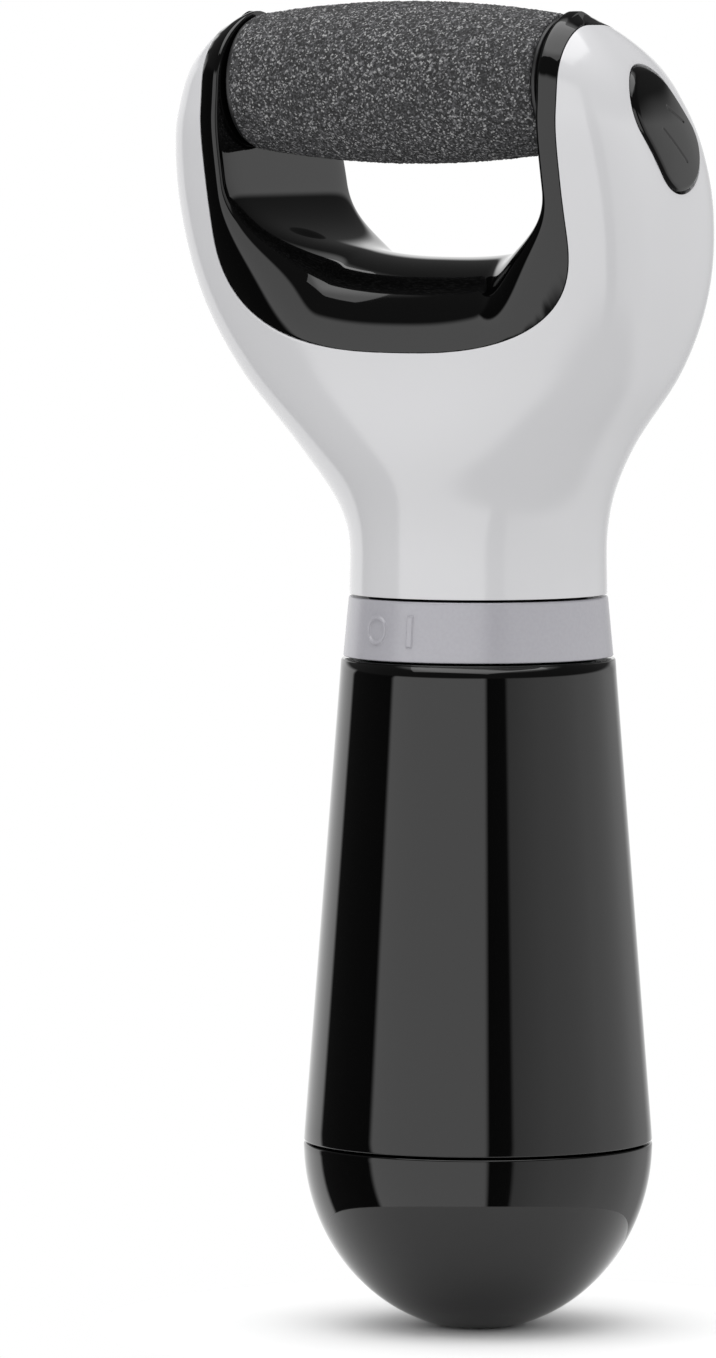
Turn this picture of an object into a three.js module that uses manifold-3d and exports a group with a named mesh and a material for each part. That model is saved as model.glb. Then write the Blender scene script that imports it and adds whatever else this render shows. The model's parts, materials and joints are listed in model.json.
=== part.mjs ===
// Electric callus remover: a battery-powered foot file with a rotating abrasive roller.
//
// Units are millimetres. +Z points up from the battery cap to the roller, the handle's axis is Z,
// the front (the side that the roller leans to) faces -Y and the release button faces +X.
// The origin is the middle of the small moulded flat under the battery cap.

import * as THREE from 'three';
import { mergeVertices } from 'three/addons/utils/BufferGeometryUtils.js';
import Module from 'manifold-3d';

const wasm = await Module();
wasm.setup();

// ---------------------------------------------------------------- driving dimensions

// Clearances
const partingGap = 0.3;          // between two mouldings that meet
const slidingGap = 0.3;          // around a piece that slides in an opening
const runningGap = 0.15;         // radial, around a piece that turns
const seatGap = 0.2;             // between an inner piece and what it sits on

// Battery cap and handle
const domeHeight = 26.4;
const baseFlatRadius = 6;
const handleLength = 69.5;
const handleLip = 0.25;          // bevel of the handle's shoulder
const handleMargin = 7.03;       // widest part of the handle, outside the circle round the cells
const handleWall = 2.2;
const capWall = 2.2;
const capCollarHeight = 6.5;
const capCollarWall = 1.8;
const sealSection = 0.45;        // radius of the O-ring's cord

// Battery pack: four AA cells
const cellRadius = 7.25;
const cellLength = 50.5;
const cellGap = 0.8;             // between neighbouring cells
const cellNubRadius = 2.75;
const cellNubLength = 1.2;

// Switch ring
const ringHeight = 8.7;
const ringFlare = 0.8;           // how much wider the ring is at its bottom
const ringMargin = 3;            // ring's top edge, outside the spigot
const ringWall = 1.3;
const ringFloor = 3.2;           // solid upper part of the ring
const switchThrow = 18.8;        // degrees between the two marks
const markRelief = 0.3;

// Motor
const motorRadius = 12.2;
const motorLength = 30.8;
const motorWall = 1;
const motorShaftRadius = 1;
const motorBossRadius = 3;
const motorBossHeight = 1.4;
const endBellHeight = 4.2;

// Spigot that carries the ring and the head
const spigotWall = 2.4;
const spigotHeight = 19.1;

// Head
const headHeight = 83.4;
const neckStep = 0.1;            // neck, inside the ring's top edge
const headHalfDepth = 18.4;
const headLean = 18;             // how far the head's middle leans forward at its top
const shellWall = 1.6;
const coverSeam = 12.5;          // rear cover's seam, behind the middle of each section

// Fork and its liner
const armWidth = 13.3;           // from the gap to the head's widest point
const forkCornerRadius = 10;
const linerWall = 1.8;
const bezelWidth = 3.3;          // black rim beside the gap
const bezelBottom = 0.578 * headHeight;   // rim's lowest point, below the head's top
const bezelCorner = 0.21 * headHeight;    // height of the rim's round corner
const saddleEdge = 0.5588 * headHeight;   // saddle's front and rear edge, below the head's top
const saddleRise = 12.2;
const saddleHalfDepth = 17;
const saddleMiddle = -4;

// Roller
const rollerLength = 49.4;
const rollerEndGap = 1.2;        // between the sleeve and each side of the fork
const rollerRadius = 11.5;       // middle of the barrel
const rollerEndRadius = 9.65;
const sleeveWall = 1.6;          // at the ends
const endCapThickness = 0.7;
const endCapRadius = 9.3;
const rollerBelowTop = 10.1;     // roller's axis, below the head's top
const rollerForward = 18.3;      // roller's axis, in front of the handle's axis
const tabWidth = 5.4;
const tabThickness = 2.6;
const tabLength = 3.1;
const tabEngagement = 0.9;

// Drive up the left arm
const crossShaftBelowTop = 0.5276 * headHeight;
const crossShaftRadius = 1.5;
const gearWidth = 1.6;
const pinionTeeth = 8;
const crownTeeth = 20;
const bevelModule = 0.6;
const lowerTeeth = 12;
const idlerTeeth = 22;
const outputTeeth = 10;
const axleRadius = 1.2;

// Release latch in the right arm, laid out along a line that leans with the arm
const latchLean = 35.7;          // degrees forward from upright
const buttonWidth = 12.6;
const buttonLength = 19.6;
const buttonBelowAxis = 9.1;     // button's middle, along the lean, below the roller's axis
const buttonBehind = 1.6;        // button's middle, behind the lean's line
const buttonProud = 0.6;
const buttonInset = 0.5;
const buttonTravel = 1.1;
const socketRadius = 3.7;
const leverReach = 4;            // from the lever's pin to each of its two contacts
const leverPinRadius = 0.7;
const postRadius = 0.7;          // post under the button that pushes the lever

// ---------------------------------------------------------------- places worked out from them

const cellPitch = 2 * cellRadius + cellGap;
const packRadius = cellPitch / Math.SQRT2 + cellRadius;
const spigotInner = motorRadius + 1;
const spigotOuter = spigotInner + spigotWall;
const ringRadius = Math.max(spigotOuter + ringMargin, packRadius + 0.5);
const ringMiddleRadius = ringRadius + ringFlare / 2;
const neckRadius = ringRadius - neckStep;
const domeRadius = packRadius + handleMargin;
const handleTopRadius = ringRadius + ringFlare + 0.3;
const handleBottomZ = domeHeight + partingGap;
const handleTopZ = handleBottomZ + handleLength;
const ringBottomZ = handleTopZ + partingGap;
const ringTopZ = ringBottomZ + ringHeight;
const neckZ = ringTopZ + partingGap;
const headTopZ = neckZ + headHeight;
const spigotTopZ = handleTopZ + spigotHeight;
const motorTopZ = spigotTopZ;
const motorBottomZ = motorTopZ - motorLength;
const crossShaftZ = headTopZ - crossShaftBelowTop;
const rollerZ = headTopZ - rollerBelowTop;
const rollerY = -rollerForward;
const forkHalfGap = rollerLength / 2 + rollerEndGap;
const headHalfWidth = forkHalfGap + armWidth;
const linerOuterX = forkHalfGap + linerWall;
const bezelOuterX = forkHalfGap + bezelWidth;
const tabEndX = rollerLength / 2 + 0.1 + endCapThickness + tabLength;
const gearInnerX = linerOuterX + 0.5;
const cellBottomZ = handleBottomZ - 2.1;
const cellTopZ = cellBottomZ + cellLength;

const parts = new THREE.Group();

// ---------------------------------------------------------------- materials

function finish(color, roughness, metalness) {
  return new THREE.MeshStandardMaterial({ color, roughness, metalness });
}

const whiteAbs = finish(0xd2d2d3, 0.3, 0);
const blackAbs = finish(0x151516, 0.12, 0);
const greyAbs = finish(0xb7b6bb, 0.45, 0);
const whiteNylon = finish(0xe6e4de, 0.5, 0);
const blackNylon = finish(0x242426, 0.6, 0);
const acetal = finish(0xefece2, 0.4, 0);
const steel = finish(0xa9abb0, 0.3, 1);
const brass = finish(0xc2a25a, 0.3, 1);
const grit = finish(0x4a4a4c, 0.95, 0);
const rubber = finish(0x1c1c1e, 0.8, 0);
const circuitBoard = finish(0x1f5b3a, 0.5, 0);
const cellWrap = finish(0x3a5f8f, 0.35, 0.2);

// ---------------------------------------------------------------- shaping helpers

const up = new THREE.Vector3(0, 0, 1);
const facingX = new THREE.Matrix4().makeBasis(new THREE.Vector3(0, 1, 0), up, new THREE.Vector3(1, 0, 0));
const weldDistance = 1e-3;

function signedVolume(geometry) {
  const position = geometry.attributes.position;
  const index = geometry.index.array;
  const corner = [0, 1, 2].map(() => new THREE.Vector3());
  let sum = 0;
  for (let i = 0; i < index.length; i += 3) {
    corner.forEach((point, k) => point.fromBufferAttribute(position, index[i + k]));
    sum += corner[0].dot(corner[1].clone().cross(corner[2])) / 6;
  }
  return sum;
}

// Joins the shared vertices, drops faces that this closes up, and turns the rest outward.
function welded(geometry) {
  const bare = geometry.clone();
  bare.deleteAttribute('normal');
  bare.deleteAttribute('uv');
  const merged = mergeVertices(bare, weldDistance);
  const faces = [];
  for (let i = 0; i < merged.index.count; i += 3) {
    const [a, b, c] = merged.index.array.slice(i, i + 3);
    if (a !== b && b !== c && c !== a) {
      faces.push([a, b, c]);
    }
  }
  merged.setIndex(faces.flat());
  if (signedVolume(merged) < 0) {
    merged.setIndex(faces.flatMap(([a, b, c]) => [a, c, b]));
  }
  return merged;
}

function solid(geometry) {
  const clean = welded(geometry);
  const vertProperties = new Float32Array(clean.attributes.position.array);
  const triVerts = new Uint32Array(clean.index.array);
  return new wasm.Manifold(new wasm.Mesh({ numProp: 3, vertProperties, triVerts }));
}

function geometryOf(body) {
  const mesh = body.getMesh();
  const geometry = new THREE.BufferGeometry();
  geometry.setAttribute('position', new THREE.BufferAttribute(mesh.vertProperties, 3));
  geometry.setIndex(new THREE.BufferAttribute(mesh.triVerts, 1));
  return geometry;
}

function addPart(name, shape, material) {
  const geometry = shape.isBufferGeometry ? welded(shape) : geometryOf(shape);
  geometry.computeVertexNormals();
  const mesh = new THREE.Mesh(geometry, material);
  mesh.name = name;
  parts.add(mesh);
  return mesh;
}

// A skin over rings of points; every ring has as many points, and each end is closed with a fan.
function loft(rings) {
  const count = rings[0].length;
  const points = rings.flat();
  const faces = [];
  for (let r = 0; r + 1 < rings.length; r += 1) {
    for (let i = 0; i < count; i += 1) {
      const a = r * count + i;
      const b = r * count + ((i + 1) % count);
      faces.push(a, b, b + count, a, b + count, a + count);
    }
  }
  [[0, 1], [rings.length - 1, -1]].forEach(([r, side]) => {
    const middle = rings[r].reduce((sum, p) => sum.add(p), new THREE.Vector3()).divideScalar(count);
    const hub = points.push(middle) - 1;
    for (let i = 0; i < count; i += 1) {
      const a = r * count + i;
      const b = r * count + ((i + 1) % count);
      faces.push(...(side > 0 ? [hub, b, a] : [hub, a, b]));
    }
  });
  const geometry = new THREE.BufferGeometry().setFromPoints(points);
  geometry.setIndex(faces);
  return geometry;
}

// Turns a closed profile of [radius, height] points about Z.
function turned(profile, segments = 32) {
  const points = profile.map(([r, z]) => new THREE.Vector2(Math.max(r, 0), z));
  points.push(points[0].clone());
  return new THREE.LatheGeometry(points, segments).rotateX(Math.PI / 2);
}

function disc(radius, z0, z1, segments = 24) {
  return turned([[0, z0], [radius, z0], [radius, z1], [0, z1]], segments);
}

function tube(inner, outer, z0, z1, segments = 24) {
  return turned([[inner, z0], [outer, z0], [outer, z1], [inner, z1]], segments);
}

// Moves a shape that was turned about Z so that its axis is +X.
function alongX(geometry, y = 0, z = 0) {
  return geometry.rotateY(Math.PI / 2).translate(0, y, z);
}

function block(x0, x1, y0, y1, z0, z1) {
  return new THREE.BoxGeometry(x1 - x0, y1 - y0, z1 - z0)
    .translate((x0 + x1) / 2, (y0 + y1) / 2, (z0 + z1) / 2);
}

// An outline in the YZ plane, made thick from x0 to x1.
function plateX(outline, x0, x1) {
  const depth = x1 - x0;
  return new THREE.ExtrudeGeometry(outline, { depth, bevelEnabled: false, curveSegments: 6 })
    .applyMatrix4(facingX).translate(x0, 0, 0);
}

function plateZ(outline, z0, z1) {
  const depth = z1 - z0;
  return new THREE.ExtrudeGeometry(outline, { depth, bevelEnabled: false, curveSegments: 8 })
    .translate(0, 0, z0);
}

function asSolid(shape) {
  return shape.isBufferGeometry ? solid(shape) : shape;
}

function union(...shapes) {
  return shapes.map(asSolid).reduce((sum, s) => sum.add(s));
}

function cut(from, ...shapes) {
  return shapes.map(asSolid).reduce((sum, s) => sum.subtract(s), asSolid(from));
}

function common(a, b) {
  return asSolid(a).intersect(asSolid(b));
}

// A stadium from one centre to another, with a round end at each.
function stadium(from, to, radius) {
  const direction = to.clone().sub(from).angle();
  const shape = new THREE.Shape();
  shape.absarc(to.x, to.y, radius, direction - Math.PI / 2, direction + Math.PI / 2, false);
  shape.absarc(from.x, from.y, radius, direction + Math.PI / 2, direction + 1.5 * Math.PI, false);
  return shape;
}

// A smooth curve through [position, value] points, read at a position.
function smoothValue(points, at) {
  const last = points.length - 1;
  const k = Math.min(last - 1, Math.max(0, points.findIndex((p) => p[0] > at) - 1));
  const i = at >= points[last][0] ? last - 1 : k;
  const slope = (j) => {
    const before = points[Math.max(0, j - 1)];
    const after = points[Math.min(last, j + 1)];
    return (after[1] - before[1]) / (after[0] - before[0]);
  };
  const [x0, y0] = points[i];
  const [x1, y1] = points[i + 1];
  const h = x1 - x0;
  const t = Math.min(1, Math.max(0, (at - x0) / h));
  const t2 = t * t;
  const t3 = t2 * t;
  return (2 * t3 - 3 * t2 + 1) * y0 + (t3 - 2 * t2 + t) * h * slope(i)
    + (3 * t2 - 2 * t3) * y1 + (t3 - t2) * h * slope(i + 1);
}

// ---------------------------------------------------------------- the head's form

// Each curve runs up the head from 0 at the neck to 1 at the arms' tips.
const widening = [[0, 0], [0.12, 0.02], [0.25, 0.3], [0.384, 0.7], [0.5, 0.9], [0.6, 0.97],
  [0.72, 0.985], [0.83, 0.91], [0.9, 0.795], [0.95, 0.64], [0.985, 0.485], [1, 0.4]];
const deepening = [[0, 0], [0.25, -0.02], [0.4, -0.075], [0.5, -0.065], [0.6, -0.02], [0.72, 0],
  [0.83, -0.065], [0.9, -0.206], [0.95, -0.424], [0.985, -0.674], [1, -0.83]];
const leaning = [[0, 0], [0.12, 0.015], [0.25, 0.19], [0.4, 0.3], [0.5, 0.378], [0.6, 0.457],
  [0.72, 0.578], [0.83, 0.724], [0.9, 0.824], [1, 1]];

function headSection(share) {
  const depthBase = THREE.MathUtils.lerp(neckRadius, headHalfDepth, Math.min(1, share / 0.7));
  return {
    halfWidth: neckRadius + (headHalfWidth - neckRadius) * smoothValue(widening, share),
    halfDepth: depthBase + headHalfDepth * smoothValue(deepening, share),
    middleY: -headLean * smoothValue(leaning, share),
    power: 2 + 2 * THREE.MathUtils.smoothstep(share, 0.15, 0.62),
  };
}

// One level of the head as a superellipse: round at the neck, squarer across the arms.
function headRing(share, z, inset, count = 32) {
  const { halfWidth, halfDepth, middleY, power } = headSection(share);
  const ring = [];
  for (let i = 0; i < count; i += 1) {
    const angle = (2 * Math.PI * (i + 0.5)) / count;
    const c = Math.cos(angle);
    const s = Math.sin(angle);
    const x = (halfWidth - inset) * Math.sign(c) * Math.abs(c) ** (2 / power);
    const y = (halfDepth - inset) * Math.sign(s) * Math.abs(s) ** (2 / power);
    ring.push(new THREE.Vector3(x, middleY + y, z));
  }
  return ring;
}

// The head's outer form drawn in by `inset`; `below` carries it past the neck's mouth.
function headForm(inset, below = 0, levels = 15) {
  const rings = [];
  if (below > 0) {
    rings.push(headRing(0, neckZ - below, inset));
  }
  for (let i = 0; i <= levels; i += 1) {
    const share = 1 - (1 - i / levels) ** 1.35;
    rings.push(headRing(share, neckZ + (headHeight - inset) * share, inset));
  }
  return loft(rings);
}

// Far enough along Y to leave the head on both sides.
const pastTheHead = headHalfDepth + headLean + 20;

// The fork's gap: a U across X whose floor is the saddle, grown outward by `grow`.
function forkGap(grow) {
  const halfDepth = saddleHalfDepth - grow;
  const half = forkHalfGap + grow;
  const radius = forkCornerRadius + grow;
  const top = headTopZ + 10;
  const steps = 10;
  const stations = [-pastTheHead];
  for (let i = 0; i <= steps; i += 1) {
    stations.push(saddleMiddle - halfDepth * Math.cos((Math.PI * i) / steps));
  }
  stations.push(pastTheHead);
  const rings = stations.map((y) => {
    const t = Math.min(1, Math.abs(y - saddleMiddle) / halfDepth);
    const floor = headTopZ - saddleEdge - grow + saddleRise * Math.sqrt(1 - t * t);
    const ring = [new THREE.Vector3(half, y, top)];
    for (let i = 0; i <= 9; i += 1) {
      const side = i < 5 ? 1 : -1;
      const angle = -(Math.PI / 8) * (i < 5 ? i : i - 1);
      const x = side * (half - radius) + radius * Math.cos(angle);
      ring.push(new THREE.Vector3(x, y, floor + radius + radius * Math.sin(angle)));
    }
    ring.push(new THREE.Vector3(-half, y, top));
    return ring;
  });
  return loft(rings);
}

// The liner's outline seen from the front, as a bar through the head along Y.
function bezelBar(grow) {
  const half = bezelOuterX + grow;
  const cornerTop = headTopZ - bezelBottom + bezelCorner;
  const outline = new THREE.Shape();
  outline.moveTo(half, headTopZ + 10);
  const steps = 16;
  const power = 2.6;             // 2 would be an ellipse
  for (let i = 0; i <= steps; i += 1) {
    const angle = (Math.PI * i) / steps;
    const c = Math.cos(angle);
    const x = half * Math.sign(c) * Math.abs(c) ** (2 / power);
    outline.lineTo(x, cornerTop - (bezelCorner + grow) * Math.sin(angle) ** (2 / power));
  }
  outline.lineTo(-half, headTopZ + 10);
  return new THREE.ExtrudeGeometry(outline, { depth: 2 * pastTheHead, bevelEnabled: false })
    .rotateX(Math.PI / 2).translate(0, pastTheHead, 0);
}

// Everything behind the rear cover's seam.
function behindSeam(offset) {
  const rings = [];
  for (let i = 0; i <= 10; i += 1) {
    const share = i / 10;
    const y = headSection(share).middleY + coverSeam + offset;
    const overrun = i === 0 ? -5 : (i === 10 ? 5 : 0);
    const z = neckZ + headHeight * share + overrun;
    const far = 2 * headHalfWidth;
    rings.push([[-far, y], [far, y], [far, far], [-far, far]]
      .map(([cornerX, cornerY]) => new THREE.Vector3(cornerX, cornerY, z)));
  }
  return loft(rings);
}

// The latch's own frame: X stays X, and its Z runs up the arm's lean through the roller's axis.
const latchFrame = new THREE.Matrix4()
  .makeTranslation(0, rollerY, rollerZ)
  .multiply(new THREE.Matrix4().makeRotationX(THREE.MathUtils.degToRad(latchLean)));

function inLatchFrame(geometry) {
  return geometry.applyMatrix4(latchFrame);
}

function buttonBar(grow, lowestOnly = false) {
  const halfRun = (buttonLength - buttonWidth) / 2;
  const top = new THREE.Vector2(buttonBehind, -buttonBelowAxis + (lowestOnly ? -0.8 * halfRun : halfRun));
  const bottom = new THREE.Vector2(buttonBehind, -buttonBelowAxis - halfRun);
  const outline = stadium(bottom, top, buttonWidth / 2 + grow);
  return inLatchFrame(plateX(outline, linerOuterX, headHalfWidth + 5));
}

const headOuter = solid(headForm(0));
const headInner = solid(headForm(shellWall, 2));
const headHollow = cut(headInner, forkGap(linerWall));

// ---------------------------------------------------------------- gears

// A spur gear about Z with straight-sided teeth; `turn` sets where its first tooth points.
function spurGear(teeth, module, bore, z0, z1, turn) {
  const outer = (teeth / 2 + 0.78) * module;
  const root = (teeth / 2 - 1.2) * module;
  const pitch = (2 * Math.PI) / teeth;
  const outline = new THREE.Shape();
  for (let i = 0; i < teeth; i += 1) {
    const middle = turn + i * pitch;
    [[root, -0.29], [outer, -0.11], [outer, 0.11], [root, 0.29]].forEach(([r, share], k) => {
      const x = r * Math.cos(middle + share * pitch);
      const y = r * Math.sin(middle + share * pitch);
      if (i === 0 && k === 0) {
        outline.moveTo(x, y);
      } else {
        outline.lineTo(x, y);
      }
    });
  }
  if (bore > 0) {
    outline.holes.push(new THREE.Path().absarc(0, 0, bore, 0, 2 * Math.PI, true));
  }
  return plateZ(outline, z0, z1);
}

const gearRun = new THREE.Vector2(rollerY, rollerZ - crossShaftZ);
const gearModule = (2 * gearRun.length()) / (lowerTeeth + 4 * idlerTeeth + outputTeeth);
const gearDirection = gearRun.clone().normalize();
const gearDistances = [
  0,
  (gearModule * (lowerTeeth + idlerTeeth)) / 2,
  (gearModule * (lowerTeeth + 3 * idlerTeeth)) / 2,
  gearRun.length(),
];
const gearCentres = gearDistances.map((distance) => new THREE.Vector2(0, crossShaftZ)
  .addScaledVector(gearDirection, distance));

// Whether each gear of the train points a tooth up the train, so that a tooth always meets a space.
const trainTeeth = [lowerTeeth, idlerTeeth, idlerTeeth, outputTeeth];
const toothUp = trainTeeth.reduce((list, teeth, i) => {
  const toothDown = i === 0 ? true : !list[i - 1];
  return [...list, teeth % 2 === 0 ? toothDown : !toothDown];
}, []);

// A gear of the train, in the left arm's gear plane.
function trainGear(place, bore) {
  const teeth = trainTeeth[place];
  const centre = gearCentres[place];
  const half = toothUp[place] ? 0 : Math.PI / teeth;
  const outline = spurGear(teeth, gearModule, bore, 0, gearWidth, gearDirection.angle() + half);
  return outline.applyMatrix4(facingX).translate(-gearInnerX - gearWidth, centre.x, centre.y);
}

// ---------------------------------------------------------------- handle and battery cap

function handleRadius(z) {
  return THREE.MathUtils.lerp(domeRadius, handleTopRadius, (z - handleBottomZ) / handleLength);
}

const handleInnerBottom = domeRadius - handleWall;
const coverScrewZ = neckZ + 6.5;
const coverScrewX = 7.5;

function handleShell() {
  const throatZ = handleTopZ - handleWall;
  const shell = turned([
    [domeRadius, handleBottomZ],
    [handleRadius(handleTopZ - handleLip), handleTopZ - handleLip],
    [handleTopRadius - handleLip, handleTopZ],
    [spigotOuter, handleTopZ],
    [spigotOuter, spigotTopZ],
    [spigotInner, spigotTopZ],
    [spigotInner, throatZ - 3],
    [handleRadius(throatZ - 8) - handleWall, throatZ - 8],
    [handleInnerBottom, handleBottomZ],
  ], 32);
  const screwHoles = [-1, 1].map((side) => new THREE.CylinderGeometry(1.35, 1.35, 10, 12)
    .translate(side * coverScrewX, spigotOuter - 2, coverScrewZ));
  const frameHoles = frameScrewPlaces.map(([x, y]) => disc(0.95, spigotTopZ - 6, spigotTopZ + 1, 12)
    .translate(x, y, 0));
  return cut(shell, ...screwHoles, ...frameHoles);
}

const frameScrewPlaces = [30, 150, 270].map((degrees) => {
  const angle = THREE.MathUtils.degToRad(degrees);
  const radius = (spigotInner + spigotOuter) / 2;
  return [radius * Math.cos(angle), radius * Math.sin(angle)];
});

const capCollarOuter = handleInnerBottom - 1;
const capCollarTopZ = handleBottomZ + capCollarHeight;
const sealZ = handleBottomZ + 2.4;

// Half an ellipse from the seam down to the flat it stands on.
function domeProfile(radius, height, flat, steps) {
  const points = [];
  const lowest = Math.acos(flat / radius);
  for (let i = 0; i <= steps; i += 1) {
    const angle = (lowest * i) / steps;
    const drop = (height * Math.sin(angle)) / Math.sin(lowest);
    points.push([radius * Math.cos(angle), domeHeight - drop]);
  }
  return points;
}

function batteryCap() {
  const outside = domeProfile(domeRadius, domeHeight, baseFlatRadius, 7);
  const inside = domeProfile(domeRadius - capWall, domeHeight - capWall, baseFlatRadius - 1, 5)
    .reverse();
  const collarInner = capCollarOuter - capCollarWall;
  const groove = capCollarOuter - sealSection;
  return turned([
    ...outside,
    [0, 0],
    [0, capWall],
    ...inside.slice(0, -1),
    [collarInner, domeHeight - 3],
    [collarInner, capCollarTopZ],
    [capCollarOuter, capCollarTopZ],
    [capCollarOuter, sealZ + 0.7],
    [groove, sealZ + 0.7],
    [groove, sealZ - 0.7],
    [capCollarOuter, sealZ - 0.7],
    [capCollarOuter, domeHeight],
  ], 32);
}

function capSeal() {
  const middle = capCollarOuter + 0.15;
  const section = [];
  for (let i = 0; i < 6; i += 1) {
    const angle = (Math.PI * (i + 0.5)) / 3;
    section.push([middle + sealSection * Math.cos(angle), sealZ + sealSection * Math.sin(angle)]);
  }
  return turned(section, 24);
}

const contactPlateTopZ = cellBottomZ - 1.6;

function capContactPlate() {
  const radius = Math.min(packRadius, domeRadius - capWall - 3);
  return turned([[2.2, contactPlateTopZ - 1.4], [radius, contactPlateTopZ - 1.4],
    [radius, contactPlateTopZ], [2.2, contactPlateTopZ]], 24);
}

const cellPlaces = [45, 135, 225, 315].map((degrees) => {
  const angle = THREE.MathUtils.degToRad(degrees);
  return [(cellPitch / Math.SQRT2) * Math.cos(angle), (cellPitch / Math.SQRT2) * Math.sin(angle)];
});

// A cell standing nub up, or nub down for every second one, as they sit in series.
function cell(place, nubUp) {
  const body = turned([
    [0, 0],
    [cellRadius - 0.4, 0],
    [cellRadius, 0.4],
    [cellRadius, cellLength - cellNubLength - 0.4],
    [cellRadius - 0.4, cellLength - cellNubLength],
    [cellNubRadius, cellLength - cellNubLength],
    [cellNubRadius, cellLength],
    [0, cellLength],
  ], 16);
  if (!nubUp) {
    body.rotateX(Math.PI).translate(0, 0, cellLength);
  }
  return body.translate(place[0], place[1], cellBottomZ);
}

function contactSpring(place) {
  const bottom = contactPlateTopZ + seatGap;
  const top = cellBottomZ - seatGap;
  return turned([[3.6, bottom], [4.4, bottom], [2.6, top], [1.8, top]], 12)
    .translate(place[0], place[1], 0);
}

const cradleTopZ = cellTopZ + 2.2;

function batteryCradle() {
  const plate = disc(packRadius, cellTopZ + 1.2, cradleTopZ, 24);
  const post = disc(cellPitch / Math.SQRT2 - cellRadius - 0.5, cellBottomZ + 1, cellTopZ + 1.5, 12);
  const rib = block(packRadius - 3.2, packRadius - 0.6, -1, 1, cellBottomZ + 4, cellTopZ + 1.5);
  const ribs = [0, 90, 180, 270].map((degrees) => rib.clone().rotateZ(THREE.MathUtils.degToRad(degrees)));
  return union(plate, post, ...ribs);
}

// A plain nickel strip that joins two neighbouring cells at their tops.
function cellStrap(side) {
  const y = (side * cellPitch) / 2;
  const reach = cellPitch / 2 + 3;
  return block(-reach, reach, y - 2.5, y + 2.5, cellTopZ + seatGap, cellTopZ + 0.9);
}

// ---------------------------------------------------------------- switch ring

function markPlace(geometry, degreesFromFront) {
  return geometry.rotateZ(THREE.MathUtils.degToRad(degreesFromFront));
}

function switchRing() {
  const ring = turned([
    [spigotOuter + runningGap, ringTopZ - 0.1],
    [spigotOuter + runningGap, ringTopZ - ringFloor],
    [ringRadius - ringWall, ringTopZ - ringFloor],
    [ringRadius - ringWall, ringBottomZ],
    [ringRadius + ringFlare, ringBottomZ],
    [ringRadius, ringTopZ - 0.1],
  ], 32);
  const middleZ = (ringBottomZ + ringTopZ) / 2;
  const face = -ringMiddleRadius - markRelief;
  const round = tube(1.55, 2.05, 0, 1.2, 20).rotateX(-Math.PI / 2).translate(0, face, middleZ);
  const bar = block(-0.45, 0.45, face, face + 1.2, middleZ - 2.2, middleZ + 2.2);
  return union(ring, markPlace(round, -switchThrow), bar);
}

function switchBoard() {
  const outer = ringRadius - ringWall - seatGap;
  return tube(spigotOuter + seatGap, outer, handleTopZ + seatGap, handleTopZ + 1, 32);
}

function contactWiper() {
  const radius = (spigotOuter + ringRadius - ringWall) / 2;
  const bottom = handleTopZ + 1.2;
  const top = ringTopZ - ringFloor - seatGap;
  const strip = (x0, x1, z0, z1) => block(x0, x1, radius - 0.5, radius + 0.2, z0, z1);
  return union(
    strip(-2.5, 2.5, bottom, bottom + 1),
    strip(-2.5, -1.5, bottom + 0.5, top),
    strip(1.5, 2.5, bottom + 0.5, top),
  );
}

// ---------------------------------------------------------------- motor

function motorCan() {
  return turned([
    [motorRadius, motorBottomZ],
    [motorRadius, motorTopZ],
    [motorBossRadius, motorTopZ],
    [motorBossRadius, motorTopZ + motorBossHeight],
    [motorShaftRadius + runningGap, motorTopZ + motorBossHeight],
    [motorShaftRadius + runningGap, motorTopZ - motorWall],
    [motorRadius - motorWall, motorTopZ - motorWall],
    [motorRadius - motorWall, motorBottomZ],
  ], 24);
}

function motorEndBell() {
  const plug = motorRadius - motorWall - seatGap;
  return turned([
    [motorShaftRadius + runningGap, motorBottomZ - endBellHeight],
    [motorRadius - 1.5, motorBottomZ - endBellHeight],
    [motorRadius, motorBottomZ - endBellHeight + 1.5],
    [motorRadius, motorBottomZ - seatGap],
    [plug, motorBottomZ - seatGap],
    [plug, motorBottomZ + 2],
    [motorShaftRadius + runningGap, motorBottomZ + 2],
  ], 20);
}

const crownPitch = (bevelModule * crownTeeth) / 2;
const pinionPitch = (bevelModule * pinionTeeth) / 2;
const pinionMiddleZ = crossShaftZ - crownPitch;

function motorShaft() {
  return disc(motorShaftRadius, motorBottomZ - endBellHeight + 0.5, pinionMiddleZ + 0.8, 16);
}

function motorArmature() {
  return tube(motorShaftRadius + 0.05, motorRadius - motorWall - 2.2, motorBottomZ + 4, motorTopZ - 4, 24);
}

function motorPinion() {
  const halfWidth = 1.1;
  return spurGear(pinionTeeth, bevelModule, motorShaftRadius + 0.05,
    pinionMiddleZ - halfWidth, pinionMiddleZ + halfWidth, Math.PI);
}

// ---------------------------------------------------------------- gearbox frame and cross shaft

const frameBottomZ = motorTopZ + seatGap;
const framePlate = 2;
const rightBearingX = 7;
const leftBearingX = -forkHalfGap + 4.9;
const bearingWidth = 3;
const bushRadius = crossShaftRadius + 1;

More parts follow.
